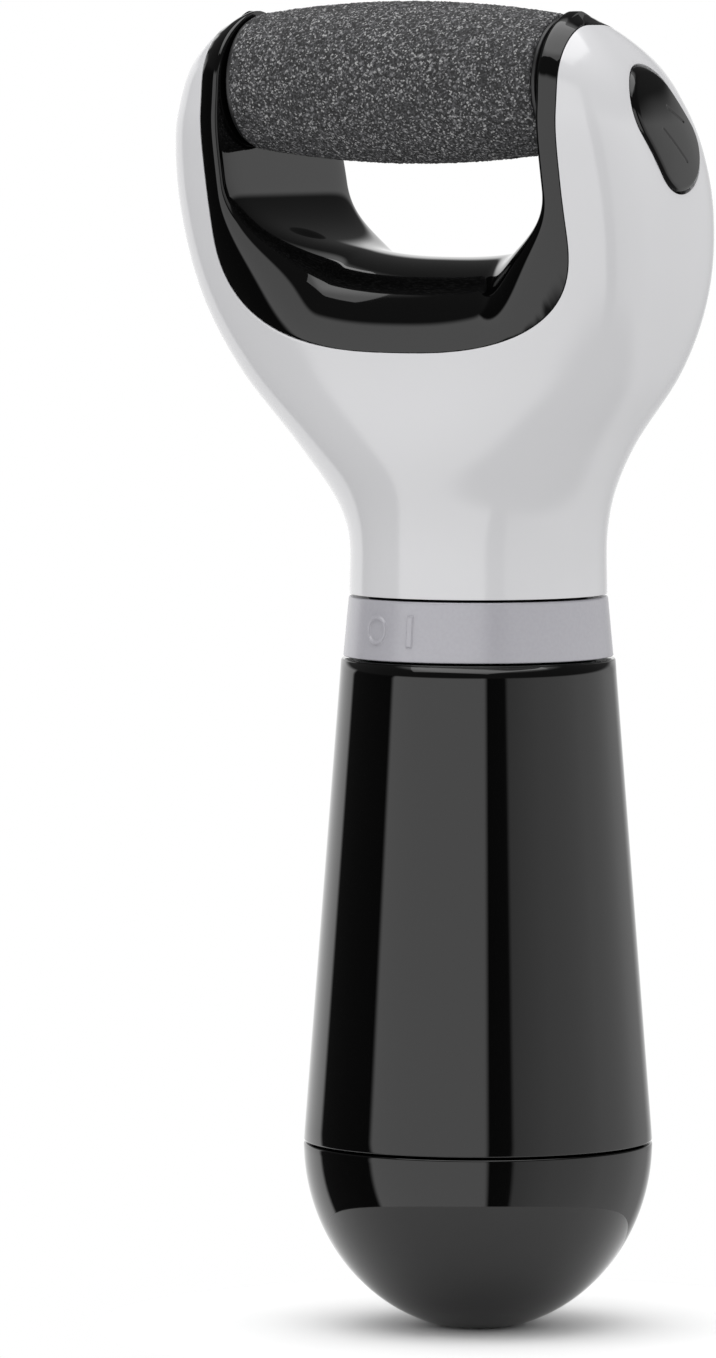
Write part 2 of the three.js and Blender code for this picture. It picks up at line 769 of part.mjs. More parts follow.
function gearboxFrame() {
  const plateTop = frameBottomZ + framePlate;
  const barTop = crossShaftZ - crownPitch - 3;
  const earTop = crossShaftZ + bushRadius + 1.1;
  const rightEndX = rightBearingX + bearingWidth;
  const plate = tube(motorBossRadius + 1.2, spigotOuter, frameBottomZ, plateTop, 24);
  const pillar = block(rightBearingX, rightEndX, -5, 5, plateTop - 0.5, earTop);
  const pillarLeft = block(-9, -6, -5, 5, plateTop - 0.5, barTop);
  const bar = block(leftBearingX, -6, -4, 4, barTop - 3, barTop);
  const ear = block(leftBearingX, leftBearingX + bearingWidth, -4, 4, barTop - 1, earTop);
  const bore = alongX(disc(bushRadius + 0.05, leftBearingX - 2, rightEndX + 2, 12), 0, crossShaftZ);
  const hole = (radius, x, y) => disc(radius, frameBottomZ - 1, plateTop + 1, 8).translate(x, y, 0);
  const screws = frameScrewPlaces.map(([x, y]) => hole(1.05, x, y));
  const motorScrews = [-1, 1].map((side) => hole(1.15, 0, side * 7.5));
  return cut(union(plate, pillar, pillarLeft, bar, ear), bore, ...screws, ...motorScrews);
}

function crossBush(x) {
  const bore = crossShaftRadius + runningGap / 2;
  return alongX(tube(bore, bushRadius, x - 0.2, x + bearingWidth + 0.2, 12), 0, crossShaftZ);
}

function crossShaft() {
  const left = -gearInnerX - gearWidth - 1.6;
  const right = rightBearingX + bearingWidth + 1;
  return alongX(disc(crossShaftRadius, left, right, 12), 0, crossShaftZ);
}

// A face gear: radial teeth stand on a disc and reach over the pinion's side.
function crownGear() {
  const face = -pinionPitch - 1.25 * bevelModule;
  const plate = tube(crossShaftRadius + 0.05, crownPitch + 0.7, face - 2, face, 24);
  const teeth = [];
  const toothReach = 1.5 * bevelModule;
  for (let i = 0; i < crownTeeth; i += 1) {
    const tipRadius = 0.2 * bevelModule;
    const rootRadius = 0.5 * bevelModule;
    const tooth = new THREE.CylinderGeometry(tipRadius, rootRadius, toothReach + 0.2, 4, 1)
      .rotateY(Math.PI / 4).scale(1, 1, 2.3).rotateX(Math.PI / 2).rotateZ(Math.PI / 2);
    teeth.push(tooth.translate(crownPitch - 0.1, 0, face + toothReach / 2 - 0.1)
      .rotateZ((2 * Math.PI * (i + 0.5)) / crownTeeth));
  }
  return union(plate, ...teeth);
}

// ---------------------------------------------------------------- gear plate, axles, output

const gearPlateX = -gearInnerX - gearWidth - 0.4;
const gearPlateThickness = 0.9;
const plateScrewSide = 9.6;

function besideTrain(distance, side) {
  const across = new THREE.Vector2(-gearDirection.y, gearDirection.x);
  return new THREE.Vector2(0, crossShaftZ)
    .addScaledVector(gearDirection, distance)
    .addScaledVector(across, side);
}

const betweenIdlers = (gearDistances[1] + gearDistances[2]) / 2;
const plateScrewPlaces = [-1, 1].map((side) => besideTrain(betweenIdlers, side * plateScrewSide));

function gearPlate() {
  const backX = gearPlateX - gearPlateThickness;
  const bar = plateX(stadium(gearCentres[0], gearCentres[2], 3.4), backX, gearPlateX);
  const wings = plateX(stadium(plateScrewPlaces[0], plateScrewPlaces[1], 2.6), backX, gearPlateX);
  const hole = (centre, radius) => {
    return alongX(disc(radius, gearPlateX - 3, gearPlateX + 3, 12), centre.x, centre.y);
  };
  return cut(
    union(bar, wings),
    hole(gearCentres[0], crossShaftRadius + runningGap),
    hole(gearCentres[1], axleRadius + 0.05),
    hole(gearCentres[2], axleRadius + 0.05),
    ...plateScrewPlaces.map((place) => hole(place, 1.05)),
  );
}

function idlerAxle(centre) {
  const left = gearPlateX - gearPlateThickness - 0.3;
  return alongX(disc(axleRadius, left, -linerOuterX - seatGap, 12), centre.x, centre.y);
}

// ---------------------------------------------------------------- roller and its two sockets

const barrelSteps = 6;

function abrasiveSleeve() {
  const inner = rollerEndRadius - sleeveWall;
  const profile = [[inner, -rollerLength / 2]];
  for (let i = 0; i <= barrelSteps; i += 1) {
    const t = (2 * i) / barrelSteps - 1;
    profile.push([rollerRadius - (rollerRadius - rollerEndRadius) * t * t, (t * rollerLength) / 2]);
  }
  profile.push([inner, rollerLength / 2]);
  return alongX(turned(profile, 32), rollerY, rollerZ);
}

function rollerCore() {
  const halfTab = tabThickness / 2;
  const tabs = block(-tabEndX, tabEndX, -tabWidth / 2, tabWidth / 2, -halfTab, halfTab)
    .translate(0, rollerY, rollerZ);
  const radius = rollerEndRadius - sleeveWall - 0.1;
  const halfDrum = rollerLength / 2 - 0.2;
  return union(alongX(disc(radius, -halfDrum, halfDrum, 32), rollerY, rollerZ), tabs);
}

function rollerEndCap(side) {
  const inner = Math.hypot(tabWidth, tabThickness) / 2 + 0.2;
  const start = rollerLength / 2 + 0.1;
  const ring = tube(inner, endCapRadius, start, start + endCapThickness, 32);
  return alongX(side > 0 ? ring : ring.rotateY(Math.PI), rollerY, rollerZ);
}

// The slot that takes a roller's tab, from an X to another.
function tabSlot(x0, x1) {
  const clearance = 0.15;
  return block(x0, x1, -tabWidth / 2 - clearance, tabWidth / 2 + clearance,
    -tabThickness / 2 - clearance, tabThickness / 2 + clearance).translate(0, rollerY, rollerZ);
}

const socketFaceX = tabEndX - tabEngagement;
const hubRadius = 3.9;
const hubFaceX = linerOuterX - 0.6;
const driveBushRadius = hubRadius + 1.1;

function outputGear() {
  const gear = trainGear(3, 0);
  const hub = alongX(disc(hubRadius, -gearInnerX + 0.15, -hubFaceX, 32), rollerY, rollerZ);
  const neckRadiusInside = gearModule * (outputTeeth / 2 - 1.3);
  const neck = alongX(disc(neckRadiusInside, -gearInnerX - 0.2, -gearInnerX + 0.4, 16), rollerY, rollerZ);
  return cut(union(gear, neck, hub), tabSlot(-tabEndX - 0.05, -hubFaceX + 1));
}

function driveBush() {
  const bore = hubRadius + runningGap;
  return alongX(tube(bore, driveBushRadius, -linerOuterX, -forkHalfGap - 0.1, 32), rollerY, rollerZ);
}

const socketBackX = tabEndX + 1.4;
const carrierX = socketBackX + 0.2;
const carrierThickness = 0.5;
const spindleRadius = 1.5;
const socketBackRadius = 2.5;
const carrierHalfWidth = 2.2;
const spindleEndX = carrierX + carrierThickness + 0.5;

function idlerSocket() {
  const cup = alongX(turned([
    [0, socketFaceX],
    [socketRadius, socketFaceX],
    [socketRadius, tabEndX + 0.3],
    [socketBackRadius, socketBackX],
    [0, socketBackX],
  ], 32), rollerY, rollerZ);
  const spindle = alongX(disc(spindleRadius, socketBackX - 0.5, spindleEndX, 16), rollerY, rollerZ);
  const head = alongX(disc(spindleRadius + 0.6, spindleEndX - 0.3, spindleEndX, 16), rollerY, rollerZ);
  return cut(union(cup, spindle, head), tabSlot(socketFaceX - 1, tabEndX + 0.2));
}

// ---------------------------------------------------------------- release latch

const leverPinZ = -9.3;
const leverPinX = linerOuterX + 1.9;
const leverHalfWidth = 2;
const leverFaceX = 1.4;          // lever's outer face, outside its pin

function socketCarrier() {
  const bottom = new THREE.Vector2(0, leverPinZ + leverReach - 1.3 + carrierHalfWidth);
  const outline = stadium(bottom, new THREE.Vector2(0, 0), carrierHalfWidth);
  outline.holes.push(new THREE.Path().absarc(0, 0, spindleRadius + runningGap, 0, 2 * Math.PI, true));
  return inLatchFrame(plateX(outline, carrierX, carrierX + carrierThickness));
}

// A bent rocker. Its outline is drawn in X and the latch's Z, about its pin.
function releaseLever() {
  const tipX = carrierX - seatGap - 0.1 - leverPinX;
  const tipZ = leverReach + 0.7;
  const outline = new THREE.Shape([
    [tipX, tipZ],
    [tipX - 0.8, tipZ],
    [-1.2, 1.8],
    [-1.3, 0],
    [-0.8, -1.3],
    [0.4, -1.9],
    [0.4, -tipZ],
    [leverFaceX, -tipZ],
    [leverFaceX, 0.7],
    [tipX + 0.1, 2.1],
  ].map(([x, z]) => new THREE.Vector2(x, z)));
  const bore = leverPinRadius + runningGap;
  outline.holes.push(new THREE.Path().absarc(0, 0, bore, 0, 2 * Math.PI, true));
  const depth = 2 * leverHalfWidth;
  return inLatchFrame(new THREE.ExtrudeGeometry(outline, { depth, bevelEnabled: false, curveSegments: 6 })
    .rotateX(Math.PI / 2).translate(leverPinX, leverHalfWidth, leverPinZ));
}

function leverPin() {
  const length = 2 * (leverHalfWidth + 1.2);
  return inLatchFrame(new THREE.CylinderGeometry(leverPinRadius, leverPinRadius, length, 12)
    .translate(leverPinX, 0, leverPinZ));
}

function releaseButton() {
  const proud = solid(headForm(-buttonProud));
  const plate = cut(common(buttonBar(-slidingGap), proud), headForm(buttonInset));
  const rimDepth = shellWall + slidingGap;
  const skirt = cut(common(buttonBar(-slidingGap - 0.15, true), headForm(0)), headForm(rimDepth + 0.8));
  const rim = cut(common(buttonBar(0.9, true), headForm(rimDepth)), headForm(rimDepth + 0.8));
  const postTipX = leverPinX + leverFaceX + 0.25;
  const postRootX = headHalfWidth - rimDepth - 0.6;
  const post = inLatchFrame(alongX(disc(postRadius, postTipX, postRootX, 12), 0, leverPinZ - leverReach));
  return union(plate, skirt, rim, post);
}

// A conical spring between the socket's spindle and the inside of the shell.
function latchSpring() {
  const start = spindleEndX + 0.45;
  const end = springSeatX - 0.4;
  const turns = 2;
  const stepsPerTurn = 10;
  const points = [];
  for (let i = 0; i <= turns * stepsPerTurn; i += 1) {
    const t = i / (turns * stepsPerTurn);
    const angle = 2 * Math.PI * turns * t;
    const radius = 1.7 - 0.5 * t;
    points.push(new THREE.Vector3(start + (end - start) * t, rollerY + radius * Math.cos(angle),
      rollerZ + radius * Math.sin(angle)));
  }
  const wire = new THREE.Shape().absarc(0, 0, 0.2, 0, 2 * Math.PI, false);
  return new THREE.ExtrudeGeometry(wire, {
    steps: turns * stepsPerTurn,
    extrudePath: new THREE.CatmullRomCurve3(points),
    curveSegments: 3,
    bevelEnabled: false,
  });
}

// The spring's seat: the floor of a shallow pocket inside the shell, over the roller's axis.
const rollerShare = 1 - rollerBelowTop / headHeight;
const rollerSection = headSection(rollerShare);
const sideShare = Math.abs((rollerY - rollerSection.middleY) / rollerSection.halfDepth)
  ** rollerSection.power;
const armSideX = rollerSection.halfWidth * (1 - sideShare) ** (1 / rollerSection.power);
const springSeatX = armSideX - shellWall - 0.3;
const springPocketRadius = 2.2;

// ---------------------------------------------------------------- head mouldings

function headFrontShell() {
  const skin = cut(headOuter, bezelBar(partingGap / 2), headHollow, neckMouth());
  const springPocket = alongX(disc(springPocketRadius, springSeatX - 3, springSeatX, 16), rollerY, rollerZ);
  return cut(skin, behindSeam(-partingGap / 2), buttonBar(0), springPocket);
}

function headRearCover() {
  const skin = cut(headOuter, bezelBar(partingGap / 2), headHollow, neckMouth());
  const cover = common(skin, behindSeam(partingGap / 2));
  const coverHole = (side, radius, length, y) => new THREE.CylinderGeometry(radius, radius, length, 20)
    .translate(side * coverScrewX, y, coverScrewZ);
  const screwHoles = [-1, 1].flatMap((side) => [
    coverHole(side, 1.35, 14, neckRadius),
    coverHole(side, 2.6, 6, coverScrewHeadY + 3),
  ]);
  return cut(cover, ...screwHoles);
}

function neckMouth() {
  return disc(neckRadius - shellWall, neckZ - 2, neckZ + 2, 44);
}

const coverScrewHeadY = Math.sqrt(neckRadius ** 2 - coverScrewX ** 2) - 1.0;

// A screw about Z with a straight driving slot; its head stands on Z = 0.
function screw(headRadius, headThickness, shankRadius, shankLength) {
  const socket = headThickness * 0.5;
  const slotHalf = headRadius * 0.16;
  const blank = turned([
    [0, -shankLength],
    [shankRadius, -shankLength],
    [shankRadius, 0],
    [headRadius, 0],
    [headRadius, headThickness * 0.6],
    [headRadius * 0.75, headThickness],
    [0, headThickness],
  ], 12);
  const arm = headRadius * 0.6;
  return cut(blank, block(-arm, arm, -slotHalf, slotHalf, headThickness - socket, headThickness + 1));
}

function placeScrew(body, matrix) {
  return geometryOf(body).applyMatrix4(matrix);
}

function forkLiner() {
  const gap = solid(forkGap(0));
  const skin = cut(common(headOuter, bezelBar(-partingGap / 2)), gap, headHollow);
  const sideHole = (radius, x0, x1) => alongX(disc(radius, x0, x1, 32), rollerY, rollerZ);
  const bushHole = sideHole(driveBushRadius + 0.1, -linerOuterX - 3, -forkHalfGap + 3);
  const socketHole = sideHole(socketRadius + runningGap + 0.1, forkHalfGap - 3, linerOuterX + 0.5);
  const standoffs = plateScrewPlaces.map((place) => alongX(
    disc(2.2, gearPlateX + seatGap, -linerOuterX + 0.4, 16), place.x, place.y));
  const standoffHoles = plateScrewPlaces.map((place) => alongX(
    disc(0.95, gearPlateX - 1, -linerOuterX - 0.3, 12), place.x, place.y));
  const ears = [-1, 1].map((side) => {
    const y0 = side > 0 ? leverHalfWidth + 0.3 : -leverHalfWidth - 1.3;
    return inLatchFrame(block(linerOuterX - 0.4, leverPinX + leverFaceX, y0, y0 + 1,
      leverPinZ - 1.5, leverPinZ + 1.5));
  });
  const pinBore = leverPinRadius + 0.05;
  const pinHole = inLatchFrame(new THREE.CylinderGeometry(pinBore, pinBore, 12, 12)
    .translate(leverPinX, 0, leverPinZ));
  return cut(union(cut(skin, bushHole, socketHole), ...standoffs, ...ears), pinHole, ...standoffHoles);
}

// ---------------------------------------------------------------- the assembly

addPart('head_front_shell', headFrontShell(), whiteAbs);
addPart('head_rear_cover', headRearCover(), whiteAbs);
addPart('fork_liner', forkLiner(), blackAbs);
addPart('handle_shell', handleShell(), blackAbs);
addPart('battery_cap', batteryCap(), blackAbs);
addPart('cap_seal', capSeal(), rubber);
addPart('cap_contact_plate', capContactPlate(), blackNylon);
addPart('battery_cradle', batteryCradle(), blackNylon);
cellPlaces.forEach((place, i) => {
  addPart(`battery_cell_${i + 1}`, cell(place, i % 2 === 0), cellWrap);
  addPart(`contact_spring_${i + 1}`, contactSpring(place), steel);
});
[-1, 1].forEach((side, i) => addPart(`cell_strap_${i + 1}`, cellStrap(side), steel));

addPart('switch_ring', switchRing(), greyAbs);
addPart('switch_board', switchBoard(), circuitBoard);
addPart('contact_wiper', contactWiper(), brass);

addPart('motor_can', motorCan(), steel);
addPart('motor_end_bell', motorEndBell(), blackNylon);
addPart('motor_shaft', motorShaft(), steel);
addPart('motor_armature', motorArmature(), brass);
addPart('motor_pinion', motorPinion(), brass);

addPart('gearbox_frame', gearboxFrame(), blackNylon);
addPart('cross_bush_right', crossBush(rightBearingX), brass);
addPart('cross_bush_left', crossBush(leftBearingX), brass);
addPart('cross_shaft', crossShaft(), steel);
addPart('crown_gear', alongX(geometryOf(crownGear()), 0, crossShaftZ), acetal);
addPart('lower_gear', trainGear(0, crossShaftRadius + 0.05), acetal);
addPart('idler_gear_1', trainGear(1, axleRadius + 0.1), acetal);
addPart('idler_gear_2', trainGear(2, axleRadius + 0.1), acetal);
addPart('output_gear', outputGear(), acetal);
addPart('idler_axle_1', idlerAxle(gearCentres[1]), steel);
addPart('idler_axle_2', idlerAxle(gearCentres[2]), steel);
addPart('gear_plate', gearPlate(), steel);
addPart('drive_bush', driveBush(), brass);

addPart('abrasive_sleeve', abrasiveSleeve(), grit);
addPart('roller_core', rollerCore(), whiteNylon);
addPart('roller_end_cap_left', rollerEndCap(-1), blackNylon);
addPart('roller_end_cap_right', rollerEndCap(1), blackNylon);
addPart('idler_socket', idlerSocket(), acetal);
addPart('socket_carrier', socketCarrier(), steel);
addPart('release_lever', releaseLever(), acetal);
addPart('lever_pin', leverPin(), steel);
addPart('release_button', releaseButton(), blackAbs);
addPart('latch_spring', latchSpring(), steel);

const towardRear = new THREE.Matrix4().makeRotationX(-Math.PI / 2);
[-1, 1].forEach((side, i) => {
  const place = new THREE.Matrix4()
    .makeTranslation(side * coverScrewX, coverScrewHeadY + seatGap, coverScrewZ)
    .multiply(towardRear);
  addPart(`cover_screw_${i + 1}`, placeScrew(screw(2.2, 0.8, 1.2, 4.6), place), steel);
});
frameScrewPlaces.forEach(([x, y], i) => {
  const place = new THREE.Matrix4().makeTranslation(x, y, frameBottomZ + framePlate + seatGap);
  addPart(`frame_screw_${i + 1}`, placeScrew(screw(1.7, 1.2, 0.8, 7), place), steel);
});
const towardLeft = new THREE.Matrix4().makeRotationY(-Math.PI / 2);
plateScrewPlaces.forEach((centre, i) => {
  const place = new THREE.Matrix4()
    .makeTranslation(gearPlateX - gearPlateThickness - 0.15, centre.x, centre.y)
    .multiply(towardLeft);
  addPart(`plate_screw_${i + 1}`, placeScrew(screw(1.9, 1.1, 0.8, 3), place), steel);
});

export default parts;
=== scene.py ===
# %% [markdown]
# # An electric callus remover
#
# A battery foot file has a tapered handle, a switch ring and a forked head that carries a rough roller.
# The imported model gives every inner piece. This lesson lays fine outer surfaces over it, each worked out
# as a function on a grid, and gives every piece a finish made of nodes.

# %% Load the fixed frame
import json
import math

import bpy
import numpy as np
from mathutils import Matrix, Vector


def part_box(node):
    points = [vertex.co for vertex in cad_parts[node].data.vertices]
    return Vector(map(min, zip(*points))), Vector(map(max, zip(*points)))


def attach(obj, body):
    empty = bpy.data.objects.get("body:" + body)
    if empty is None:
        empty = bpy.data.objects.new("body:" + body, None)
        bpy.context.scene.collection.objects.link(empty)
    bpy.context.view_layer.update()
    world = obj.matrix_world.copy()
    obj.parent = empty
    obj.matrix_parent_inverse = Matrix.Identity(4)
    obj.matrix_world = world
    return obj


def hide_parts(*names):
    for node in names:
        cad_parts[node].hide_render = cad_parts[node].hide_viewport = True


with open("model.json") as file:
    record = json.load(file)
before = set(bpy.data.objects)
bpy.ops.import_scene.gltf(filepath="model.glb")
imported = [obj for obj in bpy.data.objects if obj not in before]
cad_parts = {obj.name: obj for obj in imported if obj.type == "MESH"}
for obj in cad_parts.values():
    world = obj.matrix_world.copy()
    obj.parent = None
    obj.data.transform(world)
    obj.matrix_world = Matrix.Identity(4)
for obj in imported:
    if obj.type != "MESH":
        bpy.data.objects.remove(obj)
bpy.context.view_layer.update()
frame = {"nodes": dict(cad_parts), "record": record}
MM = 0.001

# %% [markdown]
# ## Sizes
#
# The curved surfaces repeat the model's formulas, so they need its main sizes. What can be measured on the
# loaded nodes is measured there, so that a surface always meets its neighbours.

# %% Sizes of the handle, the ring and the head
def span(node):
    """The lowest and highest corner of a node, in millimetres."""
    low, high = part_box(node)
    return np.array(low) / MM, np.array(high) / MM


DOME_TOP = 26.4
DOME_RADIUS = 25.1
BASE_FLAT = 6.0
CAP_WALL = 2.2
CAP_SPIGOT_BORE, CAP_SPIGOT_RADIUS, CAP_SPIGOT_HEIGHT = 20.1, 21.9, 6.8
HANDLE_BOTTOM = 26.7
HANDLE_TOP = span("switch_ring")[0][2] - 0.3
HANDLE_TOP_RADIUS = 19.7
HANDLE_SPIGOT_BORE, HANDLE_SPIGOT_RADIUS = 13.2, 15.6
HANDLE_BORE_TOP, HANDLE_BORE_BOTTOM = 18.3, 22.9
RING_BOTTOM, RING_TOP = span("switch_ring")[0][2], span("switch_ring")[1][2] + 0.1
RING_TOP_RADIUS = 18.6
RING_BOTTOM_RADIUS = 19.4
RING_MEAN_RADIUS = 19.0
RING_WALL = 1.3
RING_LIP_BORE, RING_LIP_DEPTH = 15.75, 3.2
NECK = RING_TOP + 0.3
NECK_RADIUS = 18.5
HEAD_TOP = span("fork_liner")[1][2]
HEAD_HEIGHT = HEAD_TOP - NECK
HEAD_HALF_WIDTH = 39.2
HEAD_HALF_DEPTH = 18.4
HEAD_LEAN = 18.0
SEAM_BACK = 12.5
GAP_HALF = 25.9
BEZEL_HALF = 29.2
BEZEL_TOP = HEAD_TOP - 48.2 + 17.5
BEZEL_CORNER = 17.5
BEZEL_POWER = 2.6
SADDLE_BELOW_TOP, SADDLE_RISE, SADDLE_POWER = 35.0, 11.5, 2.4
SKIN_WALL = 1.5
EDGE_ROUNDING = 0.25
ROLLER_Y, ROLLER_Z = -18.3, HEAD_TOP - 10.1
print("head", round(NECK, 2), "to", round(HEAD_TOP, 2))
print("ring", round(RING_BOTTOM, 2), "to", round(RING_TOP, 2))

# %% [markdown]
# ## Camera, floor and light
#
# The object stands turned a little to the left and is seen from just above the middle with a long lens.
# A plain white surround lights everything evenly. Only reflections see the studio's cards: white ones with
# dark gaps between them, a dark band above them and a softbox overhead. The gaps give glossy black plastic
# its long upright bands.

# %% Camera
VIEW_TURN = math.radians(31.5)
CAMERA_PLACE = np.array([764.2, -1280.1, 190.8])
AIM = np.array([-14.74, -9.03, 93.1])
camera_data = bpy.data.cameras.new("studio_camera")
camera_data.sensor_width = 36.0
camera_data.lens = 275.7
camera_data.clip_end = 20.0
camera = bpy.data.objects.new("studio_camera", camera_data)
bpy.context.scene.collection.objects.link(camera)
camera.location = Vector(CAMERA_PLACE * MM)
camera.rotation_euler = Vector((AIM - CAMERA_PLACE) * MM).to_track_quat("-Z", "Y").to_euler()
bpy.context.scene.camera = camera
bpy.context.scene.view_settings.view_transform = "Standard"
print("camera at", [round(c, 3) for c in camera.location])


# %% A helper that adds a node
def add_node(tree, kind, links=None, **settings):
    """Adds one node. Settings that name a socket set its value, others set a property.
    Links maps a socket of the new node to the socket that feeds it."""
    node = tree.nodes.new(kind)
    for name, value in settings.items():
        label = name.replace("_", " ").lower()
        socket = next((s for s in node.inputs if s.name.lower() == label), None)
        if hasattr(node, name):
            setattr(node, name, value)
        elif socket is not None:
            socket.default_value = value
        else:
            raise KeyError(f"{kind} has no {name}")
    for key, source in (links or {}).items():
        tree.links.new(source, node.inputs[key])
    return node


# %% Studio surround
BRIGHTEST = 1.6
SKY_LEVEL = 1.25
BAND_LEVEL = 0.06
DEEP_LEVEL = 0.1
# Azimuth in degrees from the camera, and how bright the cards are there.
CARD_STOPS = [(-180, 1.1), (-131, 1.15), (-127, 0.04), (-78, 0.03), (-75, 1.55), (4, 1.55), (7, 0.03),
              (21, 0.04), (24, 0.7), (50, 0.95), (90, 1.1), (130, 0.8), (150, 0.5), (180, 1.1)]
# The sines of elevation over which one part of the surround gives way to the next.
FADES = {"floor to cards": (-0.8, -0.62), "cards to band": (0.22, 0.36), "band to softbox": (0.78, 0.9)}


def grey(level):
    """A neutral colour for a level of brightness."""
    share = level / BRIGHTEST
    return share, share, share, 1


def studio_surround():
    """The surround that reflections see. Azimuth is the angle of the direction, counted from the camera, and
    sets the cards. The elevation then fades them to dark below, to a dark band above, and to the softbox."""
    world = bpy.data.worlds.new("studio")
    bpy.context.scene.world = world
    world.use_nodes = True
    tree = world.node_tree
    tree.nodes.clear()
    place = add_node(tree, "ShaderNodeTexCoord")
    parts = add_node(tree, "ShaderNodeSeparateXYZ", {0: place.outputs["Generated"]})
    azimuth = add_node(tree, "ShaderNodeMath", {0: parts.outputs["Y"], 1: parts.outputs["X"]},
                       operation="ARCTAN2")
    turned = add_node(tree, "ShaderNodeMath", {0: azimuth.outputs[0]}, operation="SUBTRACT")
    turned.inputs[1].default_value = math.atan2(-math.cos(VIEW_TURN), math.sin(VIEW_TURN))
    around = add_node(tree, "ShaderNodeMath", {0: turned.outputs[0]}, operation="WRAP")
    around.inputs[1].default_value = math.pi
    around.inputs[2].default_value = -math.pi
    share = add_node(tree, "ShaderNodeMapRange", {"Value": around.outputs[0]})
    share.inputs["From Min"].default_value = -math.pi
    share.inputs["From Max"].default_value = math.pi
    cards = add_node(tree, "ShaderNodeValToRGB", {"Fac": share.outputs["Result"]})
    ramp = cards.color_ramp
    while len(ramp.elements) < len(CARD_STOPS):
        ramp.elements.new(0.5)
    for element, (degrees, _) in zip(ramp.elements, CARD_STOPS):
        element.position = (degrees + 180) / 360
    for element, (_, level) in zip(ramp.elements, CARD_STOPS):
        element.color = grey(level)
    fades = {}
    for name, (low, high) in FADES.items():
        fade = add_node(tree, "ShaderNodeMapRange", {"Value": parts.outputs["Z"]},
                        interpolation_type="SMOOTHSTEP")
        fade.inputs["From Min"].default_value = low
        fade.inputs["From Max"].default_value = high
        fades[name] = fade.outputs["Result"]
    top = add_node(tree, "ShaderNodeMixRGB", {"Fac": fades["band to softbox"]},
                   Color1=(BAND_LEVEL, BAND_LEVEL, BAND_LEVEL, 1), Color2=grey(SKY_LEVEL))
    upper = add_node(tree, "ShaderNodeMixRGB",
                     {"Fac": fades["cards to band"], "Color1": cards.outputs["Color"],
                      "Color2": top.outputs["Color"]})
    whole = add_node(tree, "ShaderNodeMixRGB",
                     {"Fac": fades["floor to cards"], "Color2": upper.outputs["Color"]},
                     Color1=(DEEP_LEVEL, DEEP_LEVEL, DEEP_LEVEL, 1))
    reflected = add_node(tree, "ShaderNodeBackground", {"Color": whole.outputs["Color"]}, Strength=BRIGHTEST)
    plain = add_node(tree, "ShaderNodeBackground", Strength=1.0)
    plain.inputs["Color"].default_value = (1, 1, 1, 1)
    seen = add_node(tree, "ShaderNodeLightPath")
    choice = add_node(tree, "ShaderNodeMixShader",
                      {0: seen.outputs["Is Glossy Ray"], 1: plain.outputs[0], 2: reflected.outputs[0]})
    add_node(tree, "ShaderNodeOutputWorld", {"Surface": choice.outputs[0]})


studio_surround()


def soft_light(name, place, aim, size, watts):
    """A square area light at a place, turned to an aim, both in millimetres."""
    data = bpy.data.lights.new(name, "AREA")
    data.shape = "SQUARE"
    data.size = size * MM
    data.energy = watts
    lamp = bpy.data.objects.new(name, data)
    bpy.context.scene.collection.objects.link(lamp)
    lamp.location = Vector(np.array(place) * MM)
    lamp.rotation_euler = Vector((np.array(aim) - np.array(place)) * MM).to_track_quat("-Z", "Y").to_euler()


soft_light("overhead_softbox", (0, -100, 900), (0, 0, 0), 900, 4.0)
print("surround and overhead light made")


# %% [markdown]
# ## Colours and materials
#
# Every finish starts from the real material: its refractive index, whether it is a metal, and how it was
# made. Colours are written as the hex values that a designer would pick, and one function makes them linear.

# %% Colour and the shared shape of a material
def linear(hex_colour):
    """An sRGB hex colour as linear light: each channel c is ((c + 0.055) / 1.055) ** 2.4, or c / 12.92 when
    it is dark."""
    channels = [int(hex_colour[i:i + 2], 16) / 255 for i in (1, 3, 5)]
    return tuple(c / 12.92 if c <= 0.04045 else ((c + 0.055) / 1.055) ** 2.4 for c in channels) + (1.0,)


def finish(name, colour, second, scale_mm, roughness, metallic=0.0, ior=1.5, bump_mm=0.0, spread=0.04,
           stretch=(1, 1, 1)):
    """A moulded, turned or rolled surface. A noise of the given size in millimetres moves between two
    colours, changes the roughness by a little, and raises a bump."""
    material = bpy.data.materials.new(name)
    material.use_nodes = True
    tree = material.node_tree
    shader = tree.nodes["Principled BSDF"]
    place = add_node(tree, "ShaderNodeTexCoord")
    scaled = add_node(tree, "ShaderNodeMapping", {"Vector": place.outputs["Object"]}, Scale=stretch)
    noise = add_node(tree, "ShaderNodeTexNoise", {"Vector": scaled.outputs[0]}, Scale=1 / (scale_mm * MM),
                     Detail=4.0)
    tint = add_node(tree, "ShaderNodeValToRGB", {"Fac": noise.outputs["Fac"]})
    tint.color_ramp.elements[0].position = 0.35
    tint.color_ramp.elements[1].position = 0.65
    tint.color_ramp.elements[0].color = linear(colour)
    tint.color_ramp.elements[1].color = linear(second)
    wear = add_node(tree, "ShaderNodeMapRange", {"Value": noise.outputs["Fac"]})
    wear.inputs["To Min"].default_value = max(0.0, roughness - spread)
    wear.inputs["To Max"].default_value = roughness + spread
    tree.links.new(tint.outputs["Color"], shader.inputs["Base Color"])
    tree.links.new(wear.outputs["Result"], shader.inputs["Roughness"])
    shader.inputs["Metallic"].default_value = metallic
    if metallic == 0.0:
        shader.inputs["IOR"].default_value = ior
    if bump_mm:
        bump = add_node(tree, "ShaderNodeBump", {"Height": noise.outputs["Fac"]}, Strength=1.0,
                        Distance=bump_mm * MM)
        tree.links.new(bump.outputs["Normal"], shader.inputs["Normal"])
    return material


